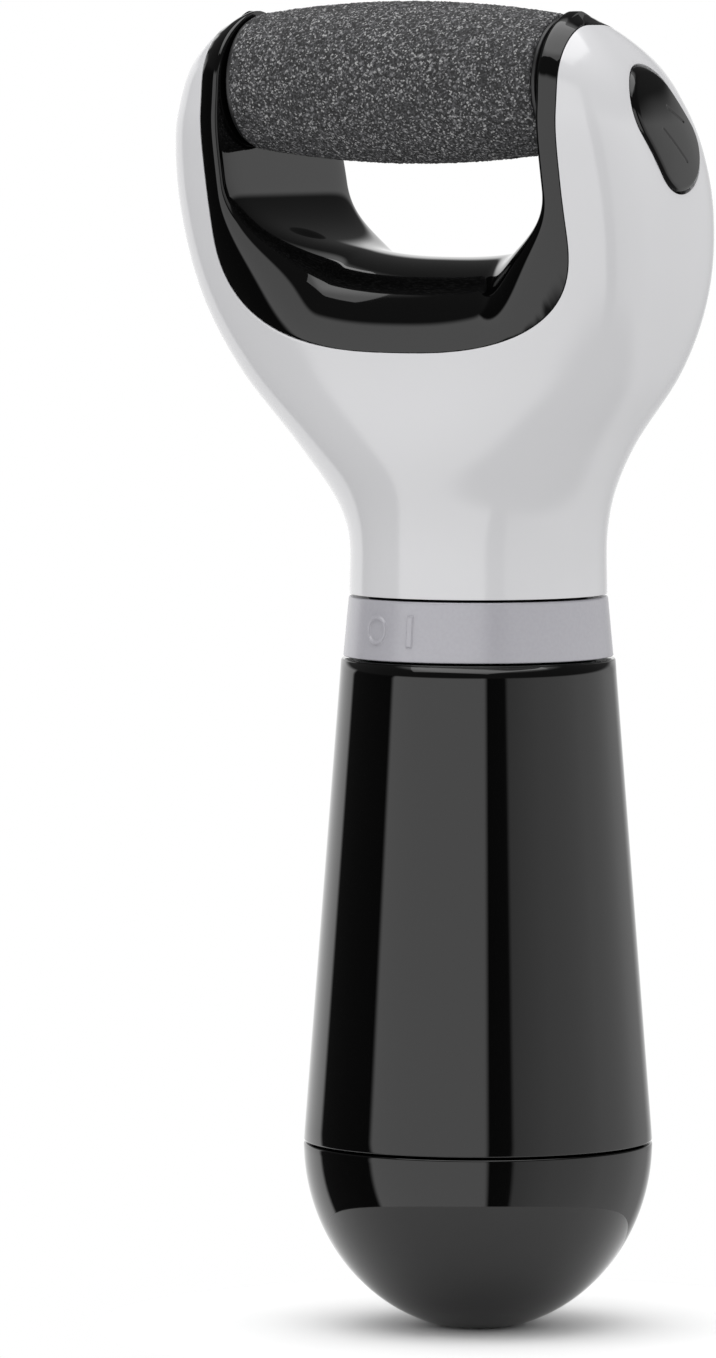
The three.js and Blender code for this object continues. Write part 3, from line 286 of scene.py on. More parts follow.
# %% Outer plastics
gloss_white = finish("gloss_white_moulded_abs", "#C7C7C9", "#C9C9CB", 40.0, 0.12, ior=1.6, spread=0.02)
gloss_black = finish("piano_black_moulded_abs", "#030303", "#040404", 40.0, 0.035, ior=1.5, spread=0.01)
satin_grey = finish("satin_grey_moulded_abs", "#9F9EA4", "#A2A1A7", 0.5, 0.25, ior=1.6, bump_mm=0.002)
print("outer plastics made")


# %% [markdown]
# ## From a grid to a mesh
#
# Each surface comes as arrays of points with rows and columns. One function joins neighbours with four-sided
# faces, leaves out faces that a mask drops, and merges the points that fall together at poles and seams.

# %% Grid mesh
def grid_faces(rows, columns, keep=None):
    """Every cell of the grid as the four numbers of its corners, in turn."""
    number = np.arange(rows * columns).reshape(rows, columns)
    corners = [number[:-1, :-1], number[:-1, 1:], number[1:, 1:], number[1:, :-1]]
    cells = np.stack(corners, axis=-1).reshape(-1, 4)
    return cells if keep is None else cells[keep.reshape(-1)]


def surface(name, grids, material, keeps=None, merge_mm=0.004, flip=False):
    """A mesh object from one or more grids of millimetre points, merged where they meet."""
    points, faces, start = [], [], 0
    for i, grid in enumerate(grids):
        rows, columns = grid.shape[:2]
        cells = grid_faces(rows, columns, None if keeps is None else keeps[i]) + start
        points.append(grid.reshape(-1, 3) * MM)
        faces.append(cells)
        start += rows * columns
    faces = np.concatenate(faces)
    points = np.concatenate(points)
    key = np.round(points / (merge_mm * MM)).astype(np.int64)
    _, first, same = np.unique(key, axis=0, return_index=True, return_inverse=True)
    faces = same.reshape(-1)[faces]
    points = points[first]
    used = np.unique(faces)
    renumber = np.zeros(len(points), dtype=np.int64)
    renumber[used] = np.arange(len(used))
    faces = renumber[faces]
    points = points[used]
    if flip:
        faces = faces[:, ::-1]
    corners = []
    for face in faces.tolist():
        ring = [v for k, v in enumerate(face) if v != face[k - 1]]
        if len(ring) > 2:
            corners.append(ring)
    mesh = bpy.data.meshes.new(name)
    mesh.from_pydata(points.tolist(), [], corners)
    mesh.validate()
    mesh.polygons.foreach_set("use_smooth", np.ones(len(mesh.polygons), dtype=bool))
    mesh.materials.append(material)
    piece = bpy.data.objects.new(name, mesh)
    bpy.context.scene.collection.objects.link(piece)
    print(name, len(points), "points", len(corners), "faces")
    return piece


def stands_for(piece, body, slot, *nodes):
    """Joins a finished surface to the frame: what it rides on and what it replaces. The slot argument is not
    used.
    """
    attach(piece, body)
    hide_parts(*nodes)


def lathe(profile, segments=256):
    """A closed profile of (radius, height) points turned about Z: x = r cos a, y = r sin a."""
    ring = np.vstack([profile, profile[:1]])
    angle = np.linspace(0, 2 * np.pi, segments + 1)
    radius, height = ring[:, 0][:, None], ring[:, 1][:, None]
    return np.stack([radius * np.cos(angle), radius * np.sin(angle), height + 0 * angle], axis=-1)


def rounded(profile, radius, steps=5):
    """A closed polyline with every corner replaced by an arc-like curve: a quadratic from a point before the
    corner to one after it, with the corner as its control point."""
    profile = np.asarray(profile, dtype=float)
    result = []
    count = len(profile)
    for i in range(count):
        before, corner, after = profile[i - 1], profile[i], profile[(i + 1) % count]
        toward = before - corner
        onward = after - corner
        reach = min(radius, 0.45 * np.hypot(*toward), 0.45 * np.hypot(*onward))
        start = corner + toward / np.hypot(*toward) * reach
        end = corner + onward / np.hypot(*onward) * reach
        t = np.linspace(0, 1, steps)[:, None]
        result.append((1 - t) ** 2 * start + 2 * t * (1 - t) * corner + t ** 2 * end)
    return np.vstack(result)


# %% [markdown]
# ## Battery cap and handle
#
# Both are injection mouldings in glossy black ABS, and both are round, so a lathe profile is the natural way.
# The cap is half an ellipse with a small flat at its gate. A fine rounded edge on each side of the seam gives
# the thin line where they meet.

# %% Battery cap
def dome_profile(radius, height, flat, steps):
    """Half an ellipse from the seam down to the flat: r = R cos a, z = top - h sin a / sin a_last."""
    last = math.acos(flat / radius)
    angle = np.linspace(0, last, steps)
    return np.stack([radius * np.cos(angle), DOME_TOP - height * np.sin(angle) / math.sin(last)], axis=-1)


outer_dome = dome_profile(DOME_RADIUS, DOME_TOP, BASE_FLAT, 72)
inner_dome = dome_profile(DOME_RADIUS - CAP_WALL, DOME_TOP - CAP_WALL, BASE_FLAT - 1, 40)[::-1]
spigot_end = DOME_TOP + CAP_SPIGOT_HEIGHT
cap_profile = np.vstack([
    [[DOME_RADIUS - EDGE_ROUNDING, DOME_TOP], [DOME_RADIUS - 0.07, DOME_TOP - 0.07]],
    [[DOME_RADIUS, DOME_TOP - EDGE_ROUNDING]],
    outer_dome[2:],
    [[0, 0], [0, CAP_WALL]],
    inner_dome[:-1],
    [[CAP_SPIGOT_BORE, DOME_TOP - 3], [CAP_SPIGOT_BORE, spigot_end]],
    [[CAP_SPIGOT_RADIUS, spigot_end], [CAP_SPIGOT_RADIUS, DOME_TOP]],
])
battery_cap = surface("battery_cap_moulding", [lathe(cap_profile)], gloss_black, flip=True)
stands_for(battery_cap, "cap", "gloss_black", "battery_cap")

# %% Handle
handle_slope = (HANDLE_TOP_RADIUS - DOME_RADIUS) / (HANDLE_TOP - HANDLE_BOTTOM)
shoulder_angle = np.linspace(0, math.pi / 2, 8)
shoulder = np.stack([HANDLE_TOP_RADIUS - EDGE_ROUNDING + EDGE_ROUNDING * np.cos(shoulder_angle),
                     HANDLE_TOP - EDGE_ROUNDING + EDGE_ROUNDING * np.sin(shoulder_angle)], axis=-1)
cone_z = np.linspace(HANDLE_BOTTOM + EDGE_ROUNDING, HANDLE_TOP - EDGE_ROUNDING, 40)
cone = np.stack([DOME_RADIUS + handle_slope * (cone_z - HANDLE_BOTTOM), cone_z], axis=-1)
spigot_top = span("handle_shell")[1][2]
handle_profile = np.vstack([
    [[DOME_RADIUS - EDGE_ROUNDING, HANDLE_BOTTOM], [DOME_RADIUS - 0.07, HANDLE_BOTTOM + 0.07]],
    cone, shoulder,
    [[HANDLE_SPIGOT_RADIUS, HANDLE_TOP], [HANDLE_SPIGOT_RADIUS, spigot_top]],
    [[HANDLE_SPIGOT_BORE, spigot_top], [HANDLE_SPIGOT_BORE, HANDLE_TOP - 5.2]],
    [[HANDLE_BORE_TOP, HANDLE_TOP - 10.2], [HANDLE_BORE_BOTTOM, HANDLE_BOTTOM]],
])
handle = surface("handle_moulding", [lathe(handle_profile)], gloss_black)
stands_for(handle, "housing", "gloss_black", "handle_shell")


# %% [markdown]
# ## Switch ring
#
# The ring turns through a small angle between two raised marks: a circle for off and a bar for on. Raised
# marks are part of the mould, so they belong to the shape. The outer wall is pushed out where a smooth
# function says that the point is on a mark.

# %% Switch ring
MARK_TURN = math.radians(-18.8)
MARK_HEIGHT = 0.3
CIRCLE_RADIUS = 1.8
BAR_HALF_WIDTH, BAR_HALF_HEIGHT = 0.45, 2.2


def smooth_step(low, high, value):
    """0 below low, 1 above high, and 3t^2 - 2t^3 between them."""
    t = np.clip((value - low) / (high - low), 0, 1)
    return t * t * (3 - 2 * t)


def mark_height(angle, z):
    """How far the wall is pushed out on the two marks, a circle line 0.5 mm wide and a bar."""
    middle = (RING_BOTTOM + RING_TOP) / 2
    front = -math.pi / 2
    across = RING_MEAN_RADIUS * (angle - front)
    bar = np.maximum(np.abs(across) - BAR_HALF_WIDTH, np.abs(z - middle) - BAR_HALF_HEIGHT)
    circle = np.abs(np.hypot(across - RING_MEAN_RADIUS * MARK_TURN, z - middle) - CIRCLE_RADIUS) - 0.25
    return MARK_HEIGHT * (1 - smooth_step(-0.12, 0.12, np.minimum(bar, circle)))


fine_angle = np.radians(np.linspace(-90 - 30, -90 + 8, 460))
coarse_angle = np.radians(np.linspace(-90 + 8, 270 - 30, 200))[1:]
ring_angle = np.concatenate([fine_angle, coarse_angle])
ring_z = np.linspace(RING_BOTTOM + EDGE_ROUNDING, RING_TOP - 0.35, 84)
cone_radius = np.interp(ring_z, [RING_BOTTOM, RING_TOP - 0.1], [RING_BOTTOM_RADIUS, RING_TOP_RADIUS])
wall_radius = cone_radius[:, None] + mark_height(ring_angle[None, :], ring_z[:, None])
wall = np.stack([wall_radius * np.cos(ring_angle), wall_radius * np.sin(ring_angle),
                 ring_z[:, None] + 0 * ring_angle], axis=-1)


def plain_rings(profile):
    """Turned rings on the same angles as the ring's outer wall, from (radius, height) points."""
    profile = np.asarray(profile)
    return np.stack([profile[:, :1] * np.cos(ring_angle), profile[:, :1] * np.sin(ring_angle),
                     profile[:, 1:] + 0 * ring_angle], axis=-1)


top_edge, low_edge, wall_inside = RING_TOP_RADIUS, RING_BOTTOM_RADIUS, RING_TOP_RADIUS - RING_WALL
lip_top, lip_bottom = RING_TOP - 0.1, RING_TOP - RING_LIP_DEPTH
ring_inside = plain_rings([
    [top_edge, RING_TOP - 0.3], [top_edge - 0.08, RING_TOP - 0.13], [top_edge - EDGE_ROUNDING, lip_top],
    [RING_LIP_BORE, lip_top], [RING_LIP_BORE, lip_bottom], [wall_inside, lip_bottom],
    [wall_inside, RING_BOTTOM], [low_edge - EDGE_ROUNDING, RING_BOTTOM],
    [low_edge - 0.08, RING_BOTTOM + 0.05], [low_edge, RING_BOTTOM + 0.2],
])
ring_grid = np.concatenate([wall, ring_inside, wall[:1]])
switch_ring = surface("switch_ring_moulding", [ring_grid], satin_grey)
stands_for(switch_ring, "ring", "satin_grey", "switch_ring")


# %% [markdown]
# ## The head's form
#
# The head grows from the round neck into a wide, deep fork that leans forward. Each level is a superellipse,
# and its half width, half depth and place come from smooth tables, so the form is one formula that the white
# shell, the rear cover, the black liner and the button all share.

# %% Smooth tables
def smooth_table(knots, spread=0.012):
    """A curve through the knots, a cubic with slopes from both neighbours. It is sampled finely and averaged
    with a bell-shaped weight, so that its curvature has no jumps and the gloss shows no kinks."""
    x, y = np.array(knots, dtype=float).T
    step = np.diff(y) / np.diff(x)
    gap = np.diff(x)
    between = (step[:-1] * gap[1:] + step[1:] * gap[:-1]) / (gap[:-1] + gap[1:])
    slope = np.concatenate([[step[0]], between, [step[-1]]])
    fine = np.linspace(-0.1, 1.1, 1201)
    inside = np.clip(fine, 0, 1)
    k = np.clip(np.searchsorted(x, inside, side="right") - 1, 0, len(x) - 2)
    t = (inside - x[k]) / gap[k]
    value = ((1 + 2 * t) * (1 - t) ** 2 * y[k] + t * (1 - t) ** 2 * gap[k] * slope[k]
             + t * t * (3 - 2 * t) * y[k + 1] + t * t * (t - 1) * gap[k] * slope[k + 1])
    value += np.where(fine < 0, fine * slope[0], 0) + np.where(fine > 1, (fine - 1) * slope[-1], 0)
    bell = np.exp(-0.5 * (np.arange(-60, 61) * 0.001 / spread) ** 2)
    padded = np.pad(value, 60, mode="reflect", reflect_type="odd")
    smooth = np.convolve(padded, bell / bell.sum(), mode="valid")
    return lambda share: np.interp(share, fine, smooth)


widening = smooth_table([[0, 0], [0.12, 0.02], [0.25, 0.3], [0.384, 0.7], [0.5, 0.9], [0.6, 0.97],
                         [0.72, 0.985], [0.83, 0.91], [0.9, 0.795], [0.95, 0.64], [0.985, 0.485], [1, 0.4]])
deepening = smooth_table([[0, 0], [0.25, -0.02], [0.4, -0.075], [0.5, -0.065], [0.6, -0.02], [0.72, 0],
                          [0.83, -0.065], [0.9, -0.206], [1, -0.45]])
leaning = smooth_table([[0, 0], [0.12, 0.015], [0.25, 0.19], [0.4, 0.3], [0.5, 0.378], [0.6, 0.457],
                        [0.72, 0.578], [0.83, 0.724], [0.9, 0.824], [1, 1]])


TIP_HALF_DEPTH = 16.9
TIP_START, TIP_SHARE = 0.82, 0.18


def head_section(z):
    """Half width, half depth, middle and power of the head's superellipse at a height in millimetres.
    Near the top the half depth follows a quarter ellipse down to nothing, so the arms end in round tips."""
    share = np.clip((z - NECK) / HEAD_HEIGHT, 0, 1)
    base = NECK_RADIUS + (HEAD_HALF_DEPTH - NECK_RADIUS) * np.minimum(1, share / 0.7)
    half_width = NECK_RADIUS + (HEAD_HALF_WIDTH - NECK_RADIUS) * widening(share)
    half_depth = base + HEAD_HALF_DEPTH * deepening(share)
    tip_share = np.clip(share - TIP_START, 0, None) / TIP_SHARE
    tip = TIP_HALF_DEPTH * np.sqrt(np.clip(1 - tip_share ** 2, 0, 1))
    blend = smooth_step(TIP_START, 0.92, share)
    half_depth = half_depth * (1 - blend) + tip * blend
    middle = -HEAD_LEAN * leaning(share)
    power = 2 + 2 * smooth_step(0.15, 0.62, share)
    return half_width, half_depth, middle, power


def head_depth_at(x, z):
    """How far the surface stands in front of, or behind, the section's middle at x: b (1 - |x/a|^n)^(1/n)."""
    a, b, _, n = head_section(z)
    return b * np.clip(1 - np.abs(x / a) ** n, 0, None) ** (1 / n)


def head_point(angle, z):
    """The surface in the direction of an angle, about the section's middle:
    r = (|cos/a|^n + |sin/b|^n)^(-1/n)."""
    a, b, middle, n = head_section(z)
    b = np.maximum(b, 0.01)
    r = (np.abs(np.cos(angle) / a) ** n + np.abs(np.sin(angle) / b) ** n) ** (-1 / n)
    return np.stack([r * np.cos(angle), middle + r * np.sin(angle), z + 0 * angle], axis=-1)


# %% [markdown]
# ## White shell and rear cover
#
# The head's skin is two mouldings in gloss white ABS, with a seam behind the widest line. Each row of a
# sheet starts on the black liner's outline and fans out to the neck's rim or to the seam, so that both edges
# are exact and the cells stay regular. The sheets get their wall thickness and a fine rounded edge from
# modifiers.

# %% The liner's outline, which is the sheet's inner edge
GAP_LINE = 0.15
NECK_ROWS, SEAM_ROWS, ARM_ROWS = 80, 70, 56
arm_samples = np.linspace(BEZEL_TOP, HEAD_TOP, 4000)
arm_width = head_section(arm_samples)[0]
arm_end = arm_samples[np.nonzero(arm_width > BEZEL_HALF + GAP_LINE)[0][-1]]
arm_z = BEZEL_TOP + (arm_end - BEZEL_TOP) * np.sin(np.linspace(0, math.pi / 2, ARM_ROWS + 1))[1:]
print("arms' white ends at", round(arm_end, 2))


# %% Where a row starts and ends
def edge_angle(x, z):
    """The angle of the surface point at x, counted towards the front or the back alike."""
    return np.arctan2(head_depth_at(x, z), np.maximum(x, 1e-6))


def seam_angle(z, offset):
    """The angle at which the surface is as far behind the middle as the seam, and half a turn where the
    section is never so deep."""
    a, b, _, n = head_section(z)
    back = SEAM_BACK + offset
    x = a * np.clip(1 - (back / np.maximum(b, back)) ** n, 0, None) ** (1 / n)
    return np.where(b > back, np.arctan2(back, np.maximum(x, 1e-6)), math.pi)


def inner_edge(crowding):
    """Angle and height of each row on the liner's outline: t^crowding runs round the outline's corner, then
    the rows go up the arm. Crowding above 1 gathers the rows near the middle."""
    turn = 0.5 * math.pi * np.linspace(0, 1, NECK_ROWS + SEAM_ROWS) ** crowding
    x = (BEZEL_HALF + GAP_LINE) * np.sin(turn) ** (2 / BEZEL_POWER)
    z = BEZEL_TOP - (BEZEL_CORNER + GAP_LINE) * np.cos(turn) ** (2 / BEZEL_POWER)
    x = np.concatenate([x, np.full(ARM_ROWS, BEZEL_HALF + GAP_LINE)])
    z = np.concatenate([z, arm_z])
    return edge_angle(np.minimum(x, head_section(z)[0]), z), z


def outer_edge(middle_angle, offset):
    """Angle and height of each row's other end: along the neck's rim from the middle to the seam, then up the
    seam, and level with the row's start beside the arms."""
    rim_angle = np.linspace(middle_angle, seam_angle(NECK, offset), NECK_ROWS)
    seam_z = NECK + (BEZEL_TOP - NECK) * np.linspace(0, 1, SEAM_ROWS + 1)[1:]
    upper_z = np.concatenate([seam_z, arm_z])
    angle = np.concatenate([rim_angle, seam_angle(upper_z, offset)])
    return angle, np.concatenate([np.full(NECK_ROWS, NECK), upper_z])


def skin_patch(start, stop, columns, side):
    """A grid on the head between two edges, each given as angles and heights: the parameters of every row run
    in a straight line from one to the other. Side -1 mirrors it to the left."""
    share = np.linspace(0, 1, columns)
    angle = start[0][:, None] + (stop[0] - start[0])[:, None] * share
    height = start[1][:, None] + (stop[1] - start[1])[:, None] * share
    points = head_point(angle, height)
    points[..., 0] *= side
    return points if side > 0 else points[:, ::-1]


# %% [markdown]
# The release button comes through the shell's right side. The hole is made in the grid itself: faces inside
# its outline are left out, and the points nearest to the outline are moved onto it.

# %% Button outline
LATCH_LEAN = math.radians(35.7)
BUTTON_HALF_RUN = 3.5
BUTTON_RADIUS = 6.3
BUTTON_MIDDLE = -9.1
BUTTON_BEHIND = 1.6


def to_latch(y, z):
    """A side view's coordinates in the latch's frame: across from the button's middle, and along the lean."""
    dy, dz = y - ROLLER_Y, z - ROLLER_Z
    return (dy * math.cos(LATCH_LEAN) + dz * math.sin(LATCH_LEAN) - BUTTON_BEHIND,
            -dy * math.sin(LATCH_LEAN) + dz * math.cos(LATCH_LEAN))


def from_latch(across, along):
    """The reverse of to_latch."""
    across = across + BUTTON_BEHIND
    return (ROLLER_Y + across * math.cos(LATCH_LEAN) - along * math.sin(LATCH_LEAN),
            ROLLER_Z + across * math.sin(LATCH_LEAN) + along * math.cos(LATCH_LEAN))


def side_x(y, z):
    """Where the head's right side stands at a place of the side view: a (1 - |(y - middle)/b|^n)^(1/n)."""
    a, b, middle, n = head_section(z)
    return a * np.clip(1 - np.abs((y - middle) / np.maximum(b, 0.01)) ** n, 0, None) ** (1 / n)


def open_for_button(grid, radius):
    """Moves the points near the button's outline onto it, and says which faces stay."""
    across, along = to_latch(grid[..., 1], grid[..., 2])
    nearest = np.clip(along, BUTTON_MIDDLE - BUTTON_HALF_RUN, BUTTON_MIDDLE + BUTTON_HALF_RUN)
    offset_along = along - nearest
    distance = np.hypot(across, offset_along)
    middle = 0.25 * (grid[:-1, :-1] + grid[:-1, 1:] + grid[1:, 1:] + grid[1:, :-1])
    cell_across, cell_along = to_latch(middle[..., 1], middle[..., 2])
    cell_nearest = np.clip(cell_along, BUTTON_MIDDLE - BUTTON_HALF_RUN, BUTTON_MIDDLE + BUTTON_HALF_RUN)
    inside = (np.hypot(cell_across, cell_along - cell_nearest) < radius) & (middle[..., 0] > 0)
    touched = np.zeros(grid.shape[:2], dtype=int)
    cells = np.zeros(grid.shape[:2], dtype=int)
    for di in (0, 1):
        for dj in (0, 1):
            touched[di:grid.shape[0] - 1 + di, dj:grid.shape[1] - 1 + dj] += inside
            cells[di:grid.shape[0] - 1 + di, dj:grid.shape[1] - 1 + dj] += 1
    rim = (touched > 0) & (touched < cells)
    factor = np.where(rim, radius / np.maximum(distance, 1e-6), 1.0)
    y, z = from_latch(across * factor, nearest + offset_along * factor)
    moved = np.stack([np.where(rim, side_x(y, z), grid[..., 0]), np.where(rim, y, grid[..., 1]),
                      np.where(rim, z, grid[..., 2])], axis=-1)
    return moved, ~inside


# %% Front shell
seam_front, seam_front_z = outer_edge(-math.pi / 2, -GAP_LINE)
liner_front, liner_front_z = inner_edge(1.0)
beside_arm = np.arange(len(liner_front)) >= NECK_ROWS + SEAM_ROWS
front_start = (-liner_front, liner_front_z)
front_stop = (np.where(beside_arm, np.minimum(seam_front, liner_front), seam_front), seam_front_z)
FRONT_COLUMNS = 104
right_front, left_front = (skin_patch(front_start, front_stop, FRONT_COLUMNS, side) for side in (1, -1))
right_front, right_keep = open_for_button(right_front, BUTTON_RADIUS + 0.05)
left_keep = np.ones((len(liner_front) - 1, FRONT_COLUMNS - 1), dtype=bool)


def finish_shell(piece, edge_mm):
    """Wall thickness towards the inside, and a fine rounded edge."""
    wall = piece.modifiers.new("wall", "SOLIDIFY")
    wall.thickness = SKIN_WALL * MM
    wall.offset = -1
    wall.use_even_offset = False
    edge = piece.modifiers.new("edge", "BEVEL")
    edge.width = edge_mm * MM
    edge.segments = 2
    edge.limit_method = "ANGLE"
    edge.angle_limit = math.radians(50)


front_shell = surface("front_shell_moulding", [right_front, left_front], gloss_white,
                      [right_keep, left_keep])
finish_shell(front_shell, 0.12)
stands_for(front_shell, "housing", "gloss_white", "head_front_shell")

# %% Rear cover
seam_rear, seam_rear_z = outer_edge(math.pi / 2, GAP_LINE)
REAR_CROWDING = 2.6
REAR_COLUMNS = 60
liner_rear, liner_rear_z = inner_edge(REAR_CROWDING)
rows = (seam_rear < liner_rear - 1e-4) | ~beside_arm
rear_start = (seam_rear[rows], seam_rear_z[rows])
rear_stop = (liner_rear[rows], liner_rear_z[rows])
rear_cover = surface("rear_cover_moulding",
                     [skin_patch(rear_start, rear_stop, REAR_COLUMNS, side) for side in (1, -1)], gloss_white)
finish_shell(rear_cover, 0.12)
stands_for(rear_cover, "housing", "gloss_white", "head_rear_cover")

# %% [markdown]
# ## Black liner
#
# One glossy black moulding lines the fork: a flat rim beside each arm that wraps over the tips, walls beside
# the roller, and a round saddle at the bottom. Its section across the depth is a superellipse. On the arms
# the power is high, which gives a flat rim with a crisp inner edge; at the bottom it falls to 2, so the rim
# melts into the saddle.

# %% Liner
def liner_outline(turn):
    """The outer outline for a place along the U, a superellipse corner. Turn runs from 0 at the bottom's
    middle to 1 at the start of the straight arm."""
    angle = turn * math.pi / 2
    outer_x = BEZEL_HALF * np.sin(angle) ** (2 / BEZEL_POWER)
    outer_z = BEZEL_TOP - BEZEL_CORNER * np.cos(angle) ** (2 / BEZEL_POWER)
    return outer_x, outer_z


def ridge_line(turn):
    """The saddle's ridge seen from the front: a broad superellipse corner, from its lowest point up."""
    angle = turn * math.pi / 2
    x = GAP_HALF * np.sin(angle) ** (2 / SADDLE_POWER)
    z = HEAD_TOP - SADDLE_BELOW_TOP + SADDLE_RISE * (1 - np.cos(angle) ** (2 / SADDLE_POWER))
    return x, z


turn = np.linspace(0, 1, 72)
outer_x, outer_z = liner_outline(turn)
ridge_x, ridge_z = ridge_line(turn)
arm_share = np.sin(np.linspace(0, math.pi / 2, 90))[1:]
arm_outer_z = outer_z[-1] + (HEAD_TOP - 0.02 - outer_z[-1]) * arm_share
arm_ridge_z = ridge_z[-1] + (HEAD_TOP - 0.02 - ridge_z[-1]) * arm_share
arm_half = head_section(arm_outer_z)[0]
arm_outer_x = 0.5 * (BEZEL_HALF + arm_half - np.hypot(BEZEL_HALF - arm_half, 0.3))
all_outer_x = np.concatenate([outer_x, arm_outer_x])
all_outer_z = np.concatenate([outer_z, arm_outer_z])
all_ridge_x = np.concatenate([ridge_x, np.full(len(arm_share), GAP_HALF)])
all_ridge_z = np.concatenate([ridge_z, arm_ridge_z])
power = 2 + 8 * smooth_step(0.25, 0.95, np.concatenate([turn, np.ones(len(arm_share))]))


def liner_side(side):
    """Half of the liner. Across the depth, t runs from -1 in front to 1 behind and h from the outline to the
    ridge, with |t|^p + h^p = 1; y is the section's middle plus t times the head's depth there."""
    sweep = np.linspace(-math.pi / 2, math.pi / 2, 97)
    flat = sweep - 0.28 * np.sin(4 * sweep) / 2
    t = np.sign(np.sin(flat)) * np.abs(np.sin(flat)) ** (2 / power[:, None])
    h = np.abs(np.cos(flat)) ** (2 / power[:, None])
    x = all_outer_x[:, None] + (all_ridge_x - all_outer_x)[:, None] * h
    z = all_outer_z[:, None] + (all_ridge_z - all_outer_z)[:, None] * h
    middle = head_section(z)[2]
    y = middle + t * head_depth_at(x, z)
    points = np.stack([side * x, y, z], axis=-1)
    return points if side < 0 else points[:, ::-1]


liner = surface("fork_liner_moulding", [liner_side(1), liner_side(-1)], gloss_black)
finish_shell(liner, 0.1)
stands_for(liner, "housing", "gloss_black", "fork_liner")

# %% [markdown]
# ## Roller
#
# The sleeve is a barrel coated with bonded mineral grit. Each grain is a real bump: the grid is about as fine
# as the grit, and seeded random heights, averaged with their neighbours, push its points in and out.

# %% Abrasive sleeve
ROLLER_HALF = 24.7
BARREL_RADIUS = 11.5
BARREL_END_RADIUS = 9.65
SLEEVE_BORE = 8.05
GRAIN_HEIGHT = 0.09
GRAIN_WIDTH = 0.24
AROUND = 360


def gritty_barrel(rows, columns):
    """Barrel radius R - (R - R_end) t^2, with random grains that reach 0.09 mm above it and 0.19 mm below."""
    t = np.linspace(-1, 1, rows)
    grains = np.random.default_rng(7).normal(size=(rows, columns))
    grains = 0.5 * grains + 0.125 * (np.roll(grains, 1, 0) + np.roll(grains, -1, 0)
                                     + np.roll(grains, 1, 1) + np.roll(grains, -1, 1))
    radius = BARREL_RADIUS - (BARREL_RADIUS - BARREL_END_RADIUS) * t ** 2
    radius = radius[:, None] - 0.05 + GRAIN_HEIGHT * np.clip(grains, -1.5, 1.5)
    angle = np.linspace(0, 2 * math.pi, columns + 1)
    radius = np.concatenate([radius, radius[:, :1]], axis=1)
    x = (t * ROLLER_HALF)[:, None] + 0 * angle
    return np.stack([x, ROLLER_Y + radius * np.cos(angle), ROLLER_Z + radius * np.sin(angle)], axis=-1)


def around_roller(profile, columns):
    """(x, radius) points turned about the roller's axis."""
    angle = np.linspace(0, 2 * math.pi, columns + 1)
    profile = np.asarray(profile, dtype=float)
    x, radius = profile[:, :1], profile[:, 1:]
    y, z = ROLLER_Y + radius * np.cos(angle), ROLLER_Z + radius * np.sin(angle)
    return np.stack([x + 0 * angle, y, z], axis=-1)


def abrasive_finish():
    """Grey-black mineral grains in a dark bond: a fine cell pattern, as coarse as a 60 grit, picks a grey for
    each grain, and a few grains are bright."""
    material = bpy.data.materials.new("bonded_mineral_grit")
    material.use_nodes = True
    tree = material.node_tree
    shader = tree.nodes["Principled BSDF"]
    place = add_node(tree, "ShaderNodeTexCoord")
    grains = add_node(tree, "ShaderNodeTexVoronoi", {"Vector": place.outputs["Object"]},
                      Scale=1 / (GRAIN_WIDTH * MM))
    pick = add_node(tree, "ShaderNodeSeparateColor", {"Color": grains.outputs["Color"]})
    tone = add_node(tree, "ShaderNodeValToRGB", {"Fac": pick.outputs[0]})
    ramp = tone.color_ramp
    ramp.elements[0].color = linear("#161617")
    ramp.elements[1].color = linear("#9A9A9A")
    for position, colour in ((0.35, "#262627"), (0.7, "#404042"), (0.88, "#6A6A6C")):
        ramp.elements.new(position).color = linear(colour)
    tree.links.new(tone.outputs["Color"], shader.inputs["Base Color"])
    shader.inputs["Roughness"].default_value = 0.8
    return material


grit = abrasive_finish()
barrel = gritty_barrel(250, AROUND)
bore = around_roller([[ROLLER_HALF, SLEEVE_BORE], [-ROLLER_HALF, SLEEVE_BORE]], AROUND)
barrel_all = np.concatenate([barrel, bore, barrel[:1]])
sleeve = surface("gritty_sleeve", [barrel_all], grit, flip=True)
stands_for(sleeve, "roller", "abrasive", "abrasive_sleeve")

# %% Inner plastics
black_nylon = finish("black_moulded_nylon", "#141415", "#1D1D1E", 1.2, 0.42, ior=1.53, bump_mm=0.01)
white_nylon = finish("white_moulded_nylon", "#DEDCD4", "#E6E4DD", 1.5, 0.45, ior=1.53, bump_mm=0.008)
acetal = finish("natural_acetal", "#E8E3D6", "#EFEBE0", 2.0, 0.32, ior=1.48, bump_mm=0.004)

# %% Roller end caps
END_CAP_BORE, END_CAP_RADIUS = 3.3, 9.3
END_CAP_GAP, END_CAP_REACH = 0.1, 0.8
for side, label in ((-1, "left"), (1, "right")):
    start, stop = side * (ROLLER_HALF + END_CAP_GAP), side * (ROLLER_HALF + END_CAP_REACH)
    square_section = [[start, END_CAP_BORE], [stop, END_CAP_BORE],
                      [stop, END_CAP_RADIUS], [start, END_CAP_RADIUS]]
    cap_section = rounded(square_section, EDGE_ROUNDING)
    grid = around_roller(np.vstack([cap_section, cap_section[:1]]), 160)
    end_cap = surface(f"roller_end_cap_{label}_moulding", [grid], black_nylon, flip=side < 0)
    stands_for(end_cap, "roller", "black_nylon", f"roller_end_cap_{label}")

# %% [markdown]
# ## Release button
#
# A glossy black oval stands a little proud of the shell, with a rounded edge and two fine engraved lines. Its
# grid runs from the middle out to the oval outline and then down the side, so every ring is a smaller copy of
# the outline.

# %% Release button
BUTTON_POINTS = 361
BUTTON_PROUD = 0.6
BUTTON_CROWN = 0.25
ROUND_FROM, ROUND_SHARE = 0.9, 0.1
GROOVE_DEPTH = 0.12


